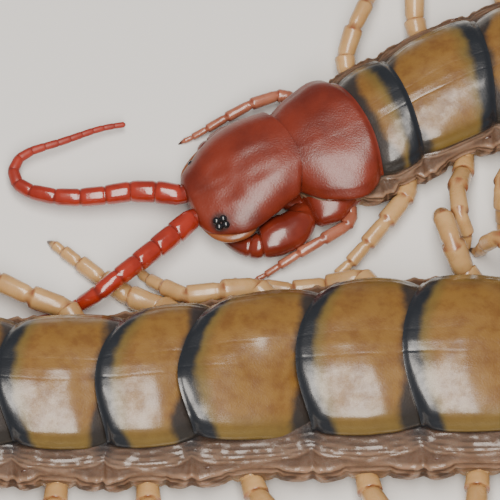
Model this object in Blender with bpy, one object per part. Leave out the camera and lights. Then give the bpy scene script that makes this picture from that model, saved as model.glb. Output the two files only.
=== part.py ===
"""Giant centipede, family Scolopendridae, life size and still.

Sizes are in millimetres and become metres where each mesh is made.  The body follows
a path on the floor, from the head's front to the tail.  Each trunk segment has its
own length, width and heading.  The animal's left flank is the inner side of its
U-shaped bend.  Belly plates and claw tips rest on small flats at z = 0.
"""
import math

import bmesh
import bpy
from mathutils import Vector

MM = 0.001
GAP = 0.3
FLOOR = 0.0

# Where the head's front lies from the middle of the whole animal's outline
HEAD_FRONT = (2.46, 3.62)
PATH_STEP = 0.1
SHARP_ANGLE = 50.0

# Head, along the body from its front edge
HEAD_LENGTH = 9.7
HEAD_HEADING = 24.0
HEAD_HALF_WIDTH = ((0, 2.6), (0.6, 3.5), (1.6, 4.1), (3.0, 4.7), (4.8, 5.2), (6.6, 5.4),
                   (8.4, 5.1), (9.2, 4.6), (9.7, 3.8))
HEAD_TOP = ((0, 3.7), (0.6, 4.0), (1.6, 4.4), (3.0, 4.85), (4.8, 5.3), (6.6, 5.65), (8.4, 5.85), (9.7, 5.8))
HEAD_EDGE = ((0, 2.8), (3.0, 3.2), (6.6, 3.6), (9.7, 4.1))
HEAD_BOTTOM = ((0, 1.6), (6.6, 2.4), (9.7, 2.55))
HEAD_RINGS = (0.0, 0.6, 1.6, 3.0, 4.8, 6.6, 8.4, 9.2, 9.7)
HEAD_BOW_START = 7.0
# The head is wider to the animal's right: shares of the half width on each side
HEAD_LEFT_SHARE = ((0, 1.0), (3.0, 1.02), (4.8, 0.94), (6.6, 0.82), (8.4, 0.77), (9.7, 0.86))
HEAD_RIGHT_SHARE = ((0, 0.85), (1.6, 0.9), (3.0, 0.97), (4.8, 1.02), (6.6, 1.04), (8.4, 1.08),
                    (9.2, 1.17), (9.7, 1.38))
# Half section of the head: shares of its half width and of the rise from edge to crown
HEAD_SECTION = ((0.0, 1.0), (0.40, 0.96), (0.72, 0.72), (0.93, 0.32), (1.0, 0.0))
HEAD_LIP = 0.45
HEAD_TUCK = (0.90, 0.55)
HEAD_TUCK_RISE = 0.1

# Trunk segments 1 to 21: length along the body and heading towards the tail
SEGMENT_LENGTHS = (7.0, 4.6, 8.2, 7.0, 8.8, 7.2, 9.0, 8.7, 8.1, 10.0, 9.0,
                   9.9, 9.4, 10.2, 7.6, 9.3, 7.2, 8.8, 6.9, 7.8, 6.0)
SEGMENT_HEADINGS = (24, 31, 27, 15, 0, -22, -55, -92, -125, -155, -175,
                    -180, -177, -174, -173, -179, -184, -190, -194, -192, -188)
PLATE_HALF_WIDTHS = ((1, 5.4), (3, 5.6), (5, 6.3), (8, 7.1), (11, 7.8), (13, 7.85),
                     (14, 7.3), (16, 6.7), (19, 6.0), (21, 4.7))
TRUNK_HEIGHTS = ((1, 5.9), (3, 6.5), (5, 7.1), (8, 7.9), (12, 8.6), (14, 8.3), (17, 7.6), (21, 5.6))

# Half section of the trunk, from the back's middle down to the belly's middle:
# shares of the plate's half width and of the trunk's height
BACK_PLATE = ((0.0, 1.0), (0.32, 0.985), (0.62, 0.925), (0.86, 0.81), (1.0, 0.665))
PLATE_UNDERSIDE = (0.94, 0.585)
UNDERSIDE_DROP = 0.3
SOFT_FLANK = (1.10, 0.55)
COXA_TOP = (1.18, 0.44)
COXA_LOW = (1.14, 0.14)
BELLY_EDGE = (0.78, 0.0)
BELLY_MIDDLE = (0.0, 0.0)
COXA_ROW = 7
# The back leans a little to the left, so the right flank shows more
LEFT_FLANK = ((1, 0.94), (10, 0.94), (12, 0.87), (17, 0.87), (21, 0.94))
RIGHT_FLANK = ((1, 1.0), (10, 1.02), (12, 1.13), (17, 1.13), (21, 1.02))
# Stations along a segment: share of its length, drop of the plate, shares of the
# plate's width and of the flank's bulge, and lift of the belly plate off the floor
STATIONS = ((0.0, 0.55, 0.93, 0.92, 0.30), (0.14, 0.35, 0.96, 0.96, 0.0), (0.30, 0.08, 0.99, 1.0, 0.0),
            (0.74, 0.0, 1.0, 1.0, 0.0), (0.92, 0.0, 0.99, 0.97, 0.0), (1.0, 0.04, 0.965, 0.92, 0.30))
COXA_FIRST, COXA_LAST = 2, 3
LEG_STATION = 0.52
SEAT_SPARE = 0.05
# Slant of the plates across the body and bow of their ends, at the front of a segment
PLATE_SLANT = ((1, 0.0), (2, 0.03), (3, 0.13), (4, 0.16), (5, 0.06), (6, 0.0),
               (12, 0.0), (13, 0.04), (14, 0.15), (15, 0.26), (16, 0.24), (17, 0.02), (18, 0.0))
PLATE_BOW = ((1, 1.0), (2, 0.8), (3, 0.5), (4, 0.6), (5, 0.9), (11, 1.2), (12, 1.6), (14, 2.0), (15, 2.2),
             (16, 2.2), (17, 1.9), (22, 1.4))
# The first plate is rounded: shares of its half width and of its flank's bulge at the
# stations, left and right
FIRST_PLATE = ((0.66, 0.84, 0.97, 1.14, 1.06, 1.0), (1.02, 1.05, 1.10, 1.20, 1.16, 1.10))
FIRST_FLANK = ((0.94, 1.09, 1.08, 0.985, 0.98, 1.0), (0.95, 0.97, 1.0, 1.05, 1.03, 1.0))
TRUNK_LENGTHS = ((1, 1), (2, 3), (4, 5), (6, 7), (8, 9), (10, 12), (13, 15), (16, 18), (19, 21))

# Plate of the poison-claw segment under the head
JAW_PLATE = ((7.2, 2.1, 1.9), (8.0, 3.1, 2.0), (9.3, 4.45, 2.05))
JAW_PLATE_END = (9.7, 4.6, 2.1)
JAW_PLATE_LOW = 0.45
JAW_SECTION = ((0.0, 1.0), (0.35, 1.0), (0.65, 0.98), (0.86, 0.90), (0.95, 0.78), (0.99, 0.64),
               (1.0, 0.50), (0.97, 0.34), (0.90, 0.18), (0.74, 0.0), (0.0, 0.0))
# Poison claw, root to tip: along the body, out from the middle, height, half width, half height
CLAW_ROOT = (0.85, 0.7)
POISON_CLAW = ((8.5, 4.75, 1.55, 1.4, 1.05), (8.1, 5.35, 1.65, 1.6, 1.3), (7.4, 5.7, 1.72, 1.6, 1.42),
               (6.6, 5.7, 1.75, 1.58, 1.45), (5.6, 5.8, 1.7, 1.48, 1.4), (4.85, 5.88, 1.62, 1.36, 1.3),
               (4.5, 5.85, 1.58, 1.14, 1.14), (4.1, 5.75, 1.52, 1.2, 1.12), (3.6, 5.5, 1.45, 1.08, 1.0),
               (3.0, 5.0, 1.35, 0.94, 0.86), (2.45, 4.3, 1.25, 0.76, 0.7), (2.0, 3.4, 1.15, 0.58, 0.54),
               (1.6, 2.5, 1.05, 0.42, 0.4), (1.4, 1.5, 0.95, 0.22, 0.22))
# Shift inward, shift down and share of the size of each poison claw
CLAW_FIT = {"left": (0.0, 0.0, 1.0), "right": (0.75, 0.3, 0.88)}
CLAW_FIT_FROM = 3
POISON_CLAW_SIDES = 10
# Mouthparts between the poison claws: along the body, half width, bottom
MOUTHPARTS = ((2.6, 1.3, 1.2), (3.2, 2.2, 1.0), (4.4, 2.75, 0.85), (5.8, 2.75, 0.85), (6.8, 1.9, 1.2))

# Four simple eyes on each side of the head, set out from the cluster's middle
# Along the head, out from its middle, height and upward turn of each cluster
EYE_PLACES = {"left": (1.65, 3.3, 3.8, 1.5), "right": (2.1, 3.88, 3.25, 0.35)}
EYE_LEAN = 0.35
EYE_LAYOUT = ((-0.32, 0.28, 0.36), (0.33, 0.27, 0.36), (-0.26, -0.30, 0.36), (0.38, -0.31, 0.36))
EYE_FLATNESS = 0.75
EYE_REACH = 0.9
EYE_SIDES = 24
EYE_SHARES = (1.0, 0.86, 0.72, 0.56, 0.4, 0.2)
EYE_BASE = 0.2

# Feelers: 18 articles, the first 6 long and smooth
FEELER_ROOT_SIDE = 1.3
FEELER_ROOT_HEIGHT = 2.6
FEELER_SIDES = 8
SMOOTH_ARTICLES = 6
FEELER_ARTICLE = (2.3, 1.5, 0.95)
FEELER_RADII = ((0, 1.0), (2, 1.08), (9, 0.86), (13, 0.74), (17, 0.5), (21, 0.36), (30, 0.24))
FEELER_WAIST = 0.86
FEELER_SWELL = 0.7
FEELER_TIP = 0.2
# Heading of each article in degrees, and the height where it ends
FEELER_COURSE = {
    "right": ((170, 2.5), (177, 2.35), (188, 2.2), (184, 2.05), (176, 1.9), (165, 1.75),
              (145, 1.65), (108, 1.6), (66, 1.6), (34, 1.6), (20, 1.6), (19, 1.55),
              (22, 1.5), (24, 1.4), (24, 1.3), (20, 1.2), (15, 1.1), (12, 1.0)),
    "left": ((225, 2.7), (223, 2.85), (223, 3.05), (223, 3.3), (218, 2.9), (195, 1.4),
             (202, 0.74), (200, 0.62), (192, 0.55), (186, 0.5), (184, 0.44), (184, 0.42),
             (183, 0.38), (182, 0.36), (182, 0.34), (182, 0.32), (182, 0.30), (184, 0.28)),
}

# Walking legs: articles from root to claw as shares of the leg's length
LEG_ARTICLES = (("coxa", 0.12), ("prefemur", 0.23), ("femur", 0.22), ("tibia", 0.18),
                ("tarsus_1", 0.13), ("tarsus_2", 0.07), ("claw", 0.05))
LEG_LENGTHS = ((1, 11.5), (2, 12.5), (4, 13.5), (8, 14.0), (14, 14.5), (20, 16.5))
LEG_RADII = ((1, 0.62), (2, 0.95), (4, 1.1), (8, 1.18), (14, 1.18), (20, 1.05))
ARTICLE_GIRTH = (1.0, 0.96, 0.84, 0.70, 0.55, 0.42, 0.34)
JOINT_WAIST = 0.84
LEG_SWELL = 0.72
COXA_SWELL = 0.45
LEG_SIDES = 6
LEG_FLAT = math.sin(math.pi / 3)
CLAW_TIP_RADIUS = 0.14
# Slope of each article of a standing leg in degrees, before it is set to meet the floor
LEG_SLOPES = (8, 26, 4, -34, -44, -22, 0)
LEG_SLOPE_SHARE = (0.2, 1.0, 1.0, 0.6, 0.3, 0.1, 0.0)
LEG_LIFTS = {
    ("right", 1): (6, 10, -4, -12, -16, -10, 0),
    ("left", 1): (6, 10, -4, -12, -16, -10, 0),
    ("left", 2): (6, 10, 0, -12, -16, -10, 0),
    ("left", 3): (14, 40, 14, -52, -66, -40, 0),
    ("left", 12): (20, 40, -20, -74, -74, -50, 0),
    ("left", 13): (-14, -16, 2, -6, -10, -6, 0),
    ("left", 14): (0, -2, -16, -24, -30, -16, 0),
    ("left", 15): (-34, -16, 0, 0, 0, 0, 0),
    ("left", 16): (4, 0, -8, -24, -30, -14, 0),
}
CURLED_LEGS = tuple(("left", number) for number in (4, 5, 6, 7, 8, 9, 10, 11))
CURLED_SLOPES = (24, 46, 22, -54, -72, -60, 0)

# Legs trailing from the last segment
LAST_LEG_LENGTH = 27.0
LAST_LEG_RADIUS = 1.3
LAST_LEG_SIDE = 0.52
LAST_LEG_HEIGHT = 2.2
LAST_LEG_SPARE = 0.7
LAST_LEG_ARTICLES = (("prefemur", 0.29), ("femur", 0.26), ("tibia", 0.19), ("tarsus_1", 0.13),
                     ("tarsus_2", 0.09), ("claw", 0.04))
LAST_LEG_SPLAY = {"left": (30, 20, 12, 4, -2, -6), "right": (24, 14, 10, 4, 0, -4)}
LAST_LEG_SLOPES = (-2, -4, -6, -4, 0, 0)
LAST_LEG_GIRTH = (1.0, 0.88, 0.76, 0.6, 0.46, 0.34)

# Turn of each leg from straight out, in degrees towards the tail, for coxa to claw
WAVE_SPAN = 7.0
WAVE_TURN = 20.0
OUTER_TURN = 14.0
TURN_SHARES = (0.6, 0.9, 1.0, 1.15, 1.3, 1.4, 1.4)
LEG_TURNS = {
    ("left", 1): (-50, -80, -86, -86, -86, -88, -90),
    ("left", 2): (-55, -66, -70, -75, -82, -86, -88),
    ("left", 3): (-34, -41, -22, 4, -48, -58, -58),
    ("left", 4): (-30, -47, -38, -14, -10, -10, -10),
    ("left", 5): (-34, -66, -52, -28, -14, -14, -14),
    ("left", 6): (-30, -50, -50, -50, -50, -50, -50),
    ("left", 7): (-20, -24, -26, -28, -30, -30, -30),
    ("left", 8): (0, 0, 2, 2, 2, 2, 2),
    ("left", 9): (20, 27, 29, 31, 31, 31, 31),
    ("left", 10): (25, 50, 52, 52, 52, 52, 52),
    ("left", 11): (34, 62, 74, 62, 50, 50, 50),
    ("left", 12): (45, 33, 16, 8, 4, 0, 0),
    ("left", 13): (38, 92, 95, 76, 72, 76, 76),
    ("left", 14): (38, 92, 88, 50, 42, 42, 42),
    ("left", 15): (33, 60, 46, 44, 43, 43, 43),
    ("left", 16): (34, 70, 60, 40, 30, 30, 30),
    ("left", 17): (24, 46, 48, 44, 40, 40, 40),
    ("left", 18): (24, 44, 46, 42, 38, 38, 38),
    ("left", 19): (20, 42, 44, 42, 40, 40, 40),
    ("left", 20): (20, 44, 48, 46, 44, 44, 44),
    ("right", 1): (-60, -88, -92, -92, -90, -90, -90),
    ("right", 2): (25, 50, 55, 50, 45, 45, 45),
    ("right", 3): (15, 27, 27, 27, 27, 27, 27),
    ("right", 4): (0, 8, 8, 10, 10, 10, 10),
    ("right", 12): (4, 2, 0, 4, 6, 6, 6),
    ("right", 13): (-8, -22, -24, -20, -18, -18, -18),
    ("right", 14): (-10, -24, -26, -22, -20, -20, -20),
    ("right", 15): (4, 6, 8, 10, 12, 12, 12),
    ("right", 16): (6, 12, 16, 20, 22, 22, 22),
}

COLOURS = {
    "head": ((0.28, 0.045, 0.02), 0.32),
    "feeler": ((0.42, 0.05, 0.02), 0.35),
    "jaw": ((0.24, 0.045, 0.02), 0.3),
    "trunk": ((0.34, 0.16, 0.04), 0.35),
    "leg": ((0.62, 0.36, 0.14), 0.32),
    "first_leg": ((0.32, 0.10, 0.05), 0.32),
    "eye": ((0.01, 0.01, 0.012), 0.12),
}


def between(keys, x):
    """Value at x on straight lines through (x, value) keys."""
    if x <= keys[0][0]:
        return keys[0][1]
    for (x0, v0), (x1, v1) in zip(keys, keys[1:]):
        if x <= x1:
            return v0 + (v1 - v0) * (x - x0) / (x1 - x0)
    return keys[-1][1]


def build_path():
    """Headings at each station along the body, and the points they lead to."""
    keys = [(0.0, HEAD_HEADING), (0.7 * HEAD_LENGTH, HEAD_HEADING)]
    start = HEAD_LENGTH
    for length, heading in zip(SEGMENT_LENGTHS, SEGMENT_HEADINGS):
        keys.append((start + length / 2, heading))
        start += length
    points = [HEAD_FRONT]
    for index in range(int(start / PATH_STEP) + 1):
        heading = math.radians(between(keys, (index + 0.5) * PATH_STEP))
        x, y = points[-1]
        points.append((x + PATH_STEP * math.cos(heading), y + PATH_STEP * math.sin(heading)))
    return keys, points


PATH_KEYS, PATH_POINTS = build_path()


def heading_at(s):
    return math.radians(between(PATH_KEYS, s))


def place(s, lateral, z):
    """Point at s along the body, lateral to the animal's left of it, z above the floor."""
    s -= lateral * between(SLANT_KEYS, s)
    index = min(max(int(s / PATH_STEP), 0), len(PATH_POINTS) - 2)
    rest = s - index * PATH_STEP
    x, y = PATH_POINTS[index]
    heading = heading_at(s)
    x += rest * math.cos(heading) + lateral * math.sin(heading)
    y += rest * math.sin(heading) - lateral * math.cos(heading)
    return Vector((x, y, z))


def segment_start(number):
    return HEAD_LENGTH + sum(SEGMENT_LENGTHS[:number - 1])


SLANT_KEYS = [(segment_start(number), slant) for number, slant in PLATE_SLANT]
BOW_KEYS = [(segment_start(number), reach) for number, reach in PLATE_BOW]


def bow(s, share, height_share):
    """How far a plate's end reaches back at a share of its half width."""
    return between(BOW_KEYS, s) * max(0.0, 1.0 - share * share) * height_share


def mirrored_ring(left_half, right_half=None):
    """Full ring from halves of (s, lateral, z) points, middle of the back first."""
    left = [place(s, lateral, z) for s, lateral, z in left_half]
    right = [place(s, -lateral, z) for s, lateral, z in (right_half or left_half)[1:-1]]
    return left + right[::-1]


def new_object(name, vertices, faces, finish):
    """Closed smooth-shaded object in metres with a finish of its own."""
    mesh = bpy.data.meshes.new(name)
    mesh.from_pydata([[c * MM for c in v] for v in vertices], [], faces)
    work = bmesh.new()
    work.from_mesh(mesh)
    bmesh.ops.recalc_face_normals(work, faces=work.faces)
    bmesh.ops.triangulate(work, faces=work.faces, quad_method="SHORT_EDGE")
    work.to_mesh(mesh)
    work.free()
    mesh.shade_smooth()
    mesh.set_sharp_from_angle(angle=math.radians(SHARP_ANGLE))
    obj = bpy.data.objects.new(name, mesh)
    bpy.context.scene.collection.objects.link(obj)
    obj.data.materials.append(make_material(name, finish))
    return obj


def make_material(name, finish):
    colour, roughness = COLOURS[finish]
    material = bpy.data.materials.new(name + "_finish")
    material.use_nodes = True
    shader = material.node_tree.nodes["Principled BSDF"]
    shader.inputs["Base Color"].default_value = (*colour, 1.0)
    shader.inputs["Roughness"].default_value = roughness
    shader.inputs["Metallic"].default_value = 0.0
    return material


def loft(rings, start_centre=None, end_centre=None):
    """Vertices and faces of a skin over rings, each end closed flat or to a centre."""
    count = len(rings[0])
    vertices = [v for ring in rings for v in ring]
    faces = []
    for r in range(len(rings) - 1):
        for k in range(count):
            a, b = r * count + k, r * count + (k + 1) % count
            faces.append((a, b, b + count, a + count))
    for centre, first in ((start_centre, 0), (end_centre, (len(rings) - 1) * count)):
        edge = list(range(first, first + count))
        if centre is None:
            faces.append(edge)
            continue
        vertices.append(centre)
        faces.extend((edge[k], edge[(k + 1) % count], len(vertices) - 1) for k in range(count))
    return vertices, faces


def trunk_ring(number, station):
    share, drop, plate, bulge, lift = STATIONS[station]
    s = segment_start(number) + share * SEGMENT_LENGTHS[number - 1]
    if station == 0:
        s += GAP
    width = between(PLATE_HALF_WIDTHS, number - 0.5 + share)
    height = between(TRUNK_HEIGHTS, number - 0.5 + share)
    halves = []
    for side, flank in enumerate((between(LEFT_FLANK, number), between(RIGHT_FLANK, number))):
        upper = plate
        if number == 1:
            upper *= FIRST_PLATE[side][station]
            flank *= FIRST_FLANK[side][station]
        half = [(a, a * width * upper, b * height - drop) for a, b in BACK_PLATE]
        a, b = PLATE_UNDERSIDE
        half.append((a, a * width * plate, b * height - UNDERSIDE_DROP * drop))
        for a, b in (SOFT_FLANK, COXA_TOP, COXA_LOW):
            half.append((a, a * width * bulge * flank, b * height))
        for a, b in (BELLY_EDGE, BELLY_MIDDLE):
            half.append((a, a * width, FLOOR + b * height + lift))
        halves.append([(s + bow(s, a, z / height), lateral, z) for a, lateral, z in half])
    return mirrored_ring(*halves)


def jaw_plate_ring(s, half_width, top, bow_share=0.0):
    """Ring of the low plate under the head that carries the poison claws."""
    height = between(TRUNK_HEIGHTS, 1)
    half = []
    for a, b in JAW_SECTION:
        z = JAW_PLATE_LOW + b * (top - JAW_PLATE_LOW)
        half.append((s + bow_share * bow(s, a, z / height), a * half_width, z))
    return mirrored_ring(half)


def end_centre(number, share, extra):
    """Middle of a trunk length's end face."""
    height = between(TRUNK_HEIGHTS, number - 0.5 + share)
    s = segment_start(number) + share * SEGMENT_LENGTHS[number - 1] + extra
    return place(s + bow(s, 0.0, 0.5), 0.0, height / 2)


def trunk_length(first, last):
    rings = []
    start_middle = end_centre(first, 0.0, GAP)
    if first == 1:
        for s, half_width, top in JAW_PLATE:
            rings.append(jaw_plate_ring(s, half_width, top))
        s, half_width, top = JAW_PLATE_END
        rings.append(jaw_plate_ring(s, half_width, top, 1.0))
        start_middle = None
    for number in range(first, last + 1):
        rings.extend(trunk_ring(number, station) for station in range(len(STATIONS)))
    name = f"trunk_{first:02d}" if first == last else f"trunk_{first:02d}_{last:02d}"
    finish = "head" if first == 1 else "trunk"
    return new_object(name, *loft(rings, start_middle, end_centre(last, 1.0, 0.0)), finish)


def head_half(s, bow_share, side_share):
    """Half section of the head at s, crown first."""
    width = between(HEAD_HALF_WIDTH, s) * side_share
    top, edge, bottom = between(HEAD_TOP, s), between(HEAD_EDGE, s), between(HEAD_BOTTOM, s)
    half = []
    for a, b in HEAD_SECTION:
        z = edge + b * (top - edge)
        half.append((s + bow_share * bow(s, a, z / top), a * width, z))
    z = edge - HEAD_LIP
    half.append((s + bow_share * bow(s, HEAD_TUCK[0], z / top), HEAD_TUCK[0] * width, z))
    z = bottom + HEAD_TUCK_RISE
    half.append((s + bow_share * bow(s, HEAD_TUCK[1], z / top), HEAD_TUCK[1] * width, z))
    half.append((s + bow_share * bow(s, 0.0, bottom / top), 0.0, bottom))
    return half


def make_head():
    rings = []
    for s in HEAD_RINGS:
        share = max(0.0, (s - HEAD_BOW_START) / (HEAD_LENGTH - HEAD_BOW_START))
        left = head_half(s, share, between(HEAD_LEFT_SHARE, s))
        rings.append(mirrored_ring(left, head_half(s, share, between(HEAD_RIGHT_SHARE, s))))
    middle = (between(HEAD_TOP, HEAD_LENGTH) + between(HEAD_BOTTOM, HEAD_LENGTH)) / 2
    rear = place(HEAD_LENGTH + bow(HEAD_LENGTH, 0.0, middle / between(HEAD_TOP, HEAD_LENGTH)), 0.0, middle)
    new_object("head", *loft(rings, None, rear), "head")


def oval_ring(centre, side, up, half_width, half_height, count):
    """Oval ring with a flat below and one above."""
    ring = []
    turn = 0.5 if count % 4 == 0 else 0.0
    for k in range(count):
        angle = 2 * math.pi * (k + turn) / count
        ring.append(centre + side * (half_width * math.cos(angle)) + up * (half_height * math.sin(angle)))
    return ring


def make_mouthparts():
    rings = []
    for s, half_width, low in MOUTHPARTS:
        top = between(HEAD_BOTTOM, s) - GAP
        centre = place(s, 0.0, (top + low) / 2)
        side = place(s, 1.0, 0.0) - place(s, 0.0, 0.0)
        rings.append(oval_ring(centre, side, Vector((0, 0, 1)), half_width, (top - low) / 2, 10))
    new_object("mouthparts", *loft(rings), "jaw")


def make_poison_claw(side_name, sign):
    """Claw that grows from the slanted front face of the jaw plate and curves inwards."""
    (s0, w0, t0), (s1, w1, t1) = JAW_PLATE[1], JAW_PLATE[2]
    face = (place(s1, sign * w1, 0.0) - place(s0, sign * w0, 0.0)).normalized()
    outward = Vector((0, 0, 1)).cross(face) * -sign
    up = Vector((0, 0, 1))
    middle_height = (JAW_PLATE_LOW + (t0 + t1) / 2) / 2
    seat = place((s0 + s1) / 2, sign * (w0 + w1) / 2, middle_height)
    rings = [oval_ring(seat + outward * GAP, face * -sign, up, *CLAW_ROOT, POISON_CLAW_SIDES)]
    centres = [seat + outward * GAP]
    inward, down, size = CLAW_FIT[side_name]
    for index, (s, lateral, z, _, _) in enumerate(POISON_CLAW, start=1):
        share = min(index / CLAW_FIT_FROM, 1.0)
        centres.append(place(s, sign * (lateral - inward * share), z - down * share))
    for index, (_, _, _, half_width, half_height) in enumerate(POISON_CLAW, start=1):
        half_width *= size
        half_height *= size
        after = centres[min(index + 1, len(centres) - 1)]
        run = after - centres[index - 1]
        run.z = 0.0
        side = up.cross(run.normalized()) * -1.0
        rings.append(oval_ring(centres[index], side, up, half_width, half_height, POISON_CLAW_SIDES))
    new_object("forcipule_" + side_name, *loft(rings), "jaw")


def eye_height(u, v):
    """Height of the cluster of eyes over its base at a point of the base."""
    height = EYE_BASE
    for centre_u, centre_v, radius in EYE_LAYOUT:
        inside = radius * radius - (u - centre_u) ** 2 - (v - centre_v) ** 2
        if inside > 0:
            height = max(height, EYE_BASE + EYE_FLATNESS * math.sqrt(inside))
    return height


def eye_outline(angle):
    """Distance from the cluster's middle to its outline."""
    reach = 0.0
    for centre_u, centre_v, radius in EYE_LAYOUT:
        along = centre_u * math.cos(angle) + centre_v * math.sin(angle)
        beside = centre_u * math.sin(angle) - centre_v * math.cos(angle)
        if abs(beside) < radius:
            reach = max(reach, along + math.sqrt(radius * radius - beside * beside))
    return max(reach, EYE_REACH * radius)


def make_eyes(side_name, sign):
    """Four simple eyes as one cluster, just clear of the side of the head."""
    s, lateral, z, rise = EYE_PLACES[side_name]
    lower = place(s, sign * lateral, z)
    normal = (place(s - EYE_LEAN, sign * (lateral + 1.0), z + rise) - lower).normalized()
    along = place(s + 1.0, sign * lateral, z) - lower
    along = (along - normal * along.dot(normal)).normalized()
    across = normal.cross(along)
    base = lower + normal * GAP
    rings = []
    for index, share in enumerate((EYE_SHARES[0],) + EYE_SHARES):
        ring = []
        for k in range(EYE_SIDES):
            angle = 2 * math.pi * k / EYE_SIDES
            reach = share * eye_outline(angle)
            u, v = reach * math.cos(angle), reach * math.sin(angle)
            height = eye_height(u, v) if index > 0 else 0.0
            ring.append(base + along * u + across * v + normal * height)
        rings.append(ring)
    top = base + normal * eye_height(0.0, 0.0)
    new_object(f"ocelli_{side_name}", *loft(rings, None, top), "eye")


def ring_across(centre, direction, radius, count, flatness=1.0):
    """Ring square to a direction, its sides level with the floor."""
    side = direction.cross(Vector((0, 0, 1))).normalized()
    up = side.cross(direction).normalized()
    return oval_ring(centre, side, up, radius, radius * flatness, count)


def step_direction(azimuth, slope):
    a, b = math.radians(azimuth), math.radians(slope)
    return Vector((math.cos(a) * math.cos(b), math.sin(a) * math.cos(b), math.sin(b)))


def make_feeler(side_name, sign):
    forward = place(-1.0, 0.0, 0.0) - place(0.0, 0.0, 0.0)
    point = place(-GAP, sign * FEELER_ROOT_SIDE, FEELER_ROOT_HEIGHT)
    rings = [ring_across(point, forward, between(FEELER_RADII, 0), FEELER_SIDES)]
    run = 0.0
    first, longest, shortest = FEELER_ARTICLE
    course = FEELER_COURSE[side_name]
    before = forward
    for index, (azimuth, height) in enumerate(course):
        length = first
        if index >= SMOOTH_ARTICLES:
            share = (index - SMOOTH_ARTICLES) / (len(course) - SMOOTH_ARTICLES - 1)
            length = longest + (shortest - longest) * share
        slope = math.degrees(math.asin(max(-0.8, min(0.8, (height - point.z) / length))))
        direction = step_direction(azimuth, slope)
        if index > 0:
            mitre = (before + direction).normalized()
            rings.append(ring_across(point, mitre, between(FEELER_RADII, run) * FEELER_WAIST, FEELER_SIDES))
        swell = point + direction * (length * FEELER_SWELL)
        radius = between(FEELER_RADII, run + length * FEELER_SWELL)
        rings.append(ring_across(swell, direction, radius, FEELER_SIDES))
        point = point + direction * length
        run += length
        before = direction
    rings.append(ring_across(point, before, FEELER_TIP, FEELER_SIDES))
    new_object("antenna_" + side_name, *loft(rings), "feeler")


def coxa_seat(number, sign):
    """Middle, outward direction and heading of the flank face that a leg grows from."""
    row = COXA_ROW
    corners = []
    for station in (COXA_FIRST, COXA_LAST):
        ring = trunk_ring(number, station)
        for k in (row, row + 1):
            corners.append(ring[k] if sign > 0 else ring[len(ring) - k])
    middle = sum(corners, Vector()) / 4
    along = (corners[2] + corners[3] - corners[0] - corners[1]).normalized()
    down = (corners[1] + corners[3] - corners[0] - corners[2]).normalized()
    outward = along.cross(down).normalized()
    s = segment_start(number) + LEG_STATION * SEGMENT_LENGTHS[number - 1]
    away = place(s, sign * 10.0, 0.0) - place(s, 0.0, 0.0)
    if outward.dot(away) < 0:
        outward.negate()
    return middle, outward, along, down, heading_at(s)


def leg_turns(number, sign):
    """Turn of each article towards the tail: a wave along the body unless set by hand."""
    side_name = "left" if sign > 0 else "right"
    if (side_name, number) in LEG_TURNS:
        return LEG_TURNS[(side_name, number)]
    phase = 2 * math.pi * number / WAVE_SPAN + (0.0 if sign > 0 else math.pi * 0.6)
    turn = OUTER_TURN + WAVE_TURN * math.sin(phase)
    return tuple(turn * share for share in TURN_SHARES)


def leg_steps(azimuths, lengths, slopes, shares, start_height, foot_height):
    """Directions of the articles, their slopes shifted so that the foot meets the floor."""
    low, high = -75.0, 75.0
    for _ in range(40):
        shift = (low + high) / 2
        rise = sum(n * math.sin(math.radians(a + shift * b)) for n, a, b in zip(lengths, slopes, shares))
        if start_height + rise > foot_height:
            high = shift
        else:
            low = shift
    return [step_direction(azimuth, slope + shift * share)
            for azimuth, slope, share in zip(azimuths, slopes, shares)]


def leg_ring(centre, direction, radius):
    """Ring of a leg, lifted where it would sink into the floor."""
    lowest = FLOOR + radius * LEG_FLAT
    return ring_across(Vector((centre.x, centre.y, max(centre.z, lowest))), direction, radius, LEG_SIDES)


def leg_rings(root_ring, root, outward, directions, lengths, radius, girth):
    """Rings of a jointed leg from its root ring to the flat underside of its claw."""
    rings = [root_ring]
    point = root
    before = outward
    last = len(lengths) - 1
    for index, (direction, length) in enumerate(zip(directions, lengths)):
        here = radius * girth[index]
        if index == last:
            tip = CLAW_TIP_RADIUS
            rings.append(leg_ring(point, direction, here))
            end = point + direction * length
            end.z = FLOOR
            rings.append(leg_ring(end, direction, tip))
            break
        if index > 0:
            mitre = (before + direction).normalized()
            rings.append(leg_ring(point, mitre, here * JOINT_WAIST))
            swell = direction
        else:
            swell = (before + direction).normalized()
        share = COXA_SWELL if index == 0 else LEG_SWELL
        rings.append(leg_ring(point + direction * (length * share), swell, here))
        point = point + direction * length
        before = direction
    return rings


def make_leg(number, side_name, sign):
    length = between(LEG_LENGTHS, number)
    radius = between(LEG_RADII, number)
    middle, outward, along, down, heading = coxa_seat(number, sign)
    root = middle + outward * (GAP + SEAT_SPARE)
    lengths = [share * length for _, share in LEG_ARTICLES]
    azimuths = []
    for turn in leg_turns(number, sign):
        azimuths.append(math.degrees(heading) + sign * (turn - 90.0))
    foot = FLOOR + radius * ARTICLE_GIRTH[-1] * LEG_FLAT
    standing = CURLED_SLOPES if (side_name, number) in CURLED_LEGS else LEG_SLOPES
    lift = LEG_LIFTS.get((side_name, number), standing)
    directions = leg_steps(azimuths[:-1], lengths[:-1], lift[:-1], LEG_SLOPE_SHARE[:-1], root.z, foot)
    directions.append(step_direction(azimuths[-1], 0.0))
    side = outward.cross(Vector((0, 0, 1))).normalized()
    root_ring = oval_ring(root, side, side.cross(outward).normalized(), radius, radius, LEG_SIDES)
    rings = leg_rings(root_ring, root, outward, directions, lengths, radius, ARTICLE_GIRTH)
    finish = "first_leg" if number == 1 else "leg"
    new_object(f"leg_{number:02d}_{side_name}", *loft(rings), finish)


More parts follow.
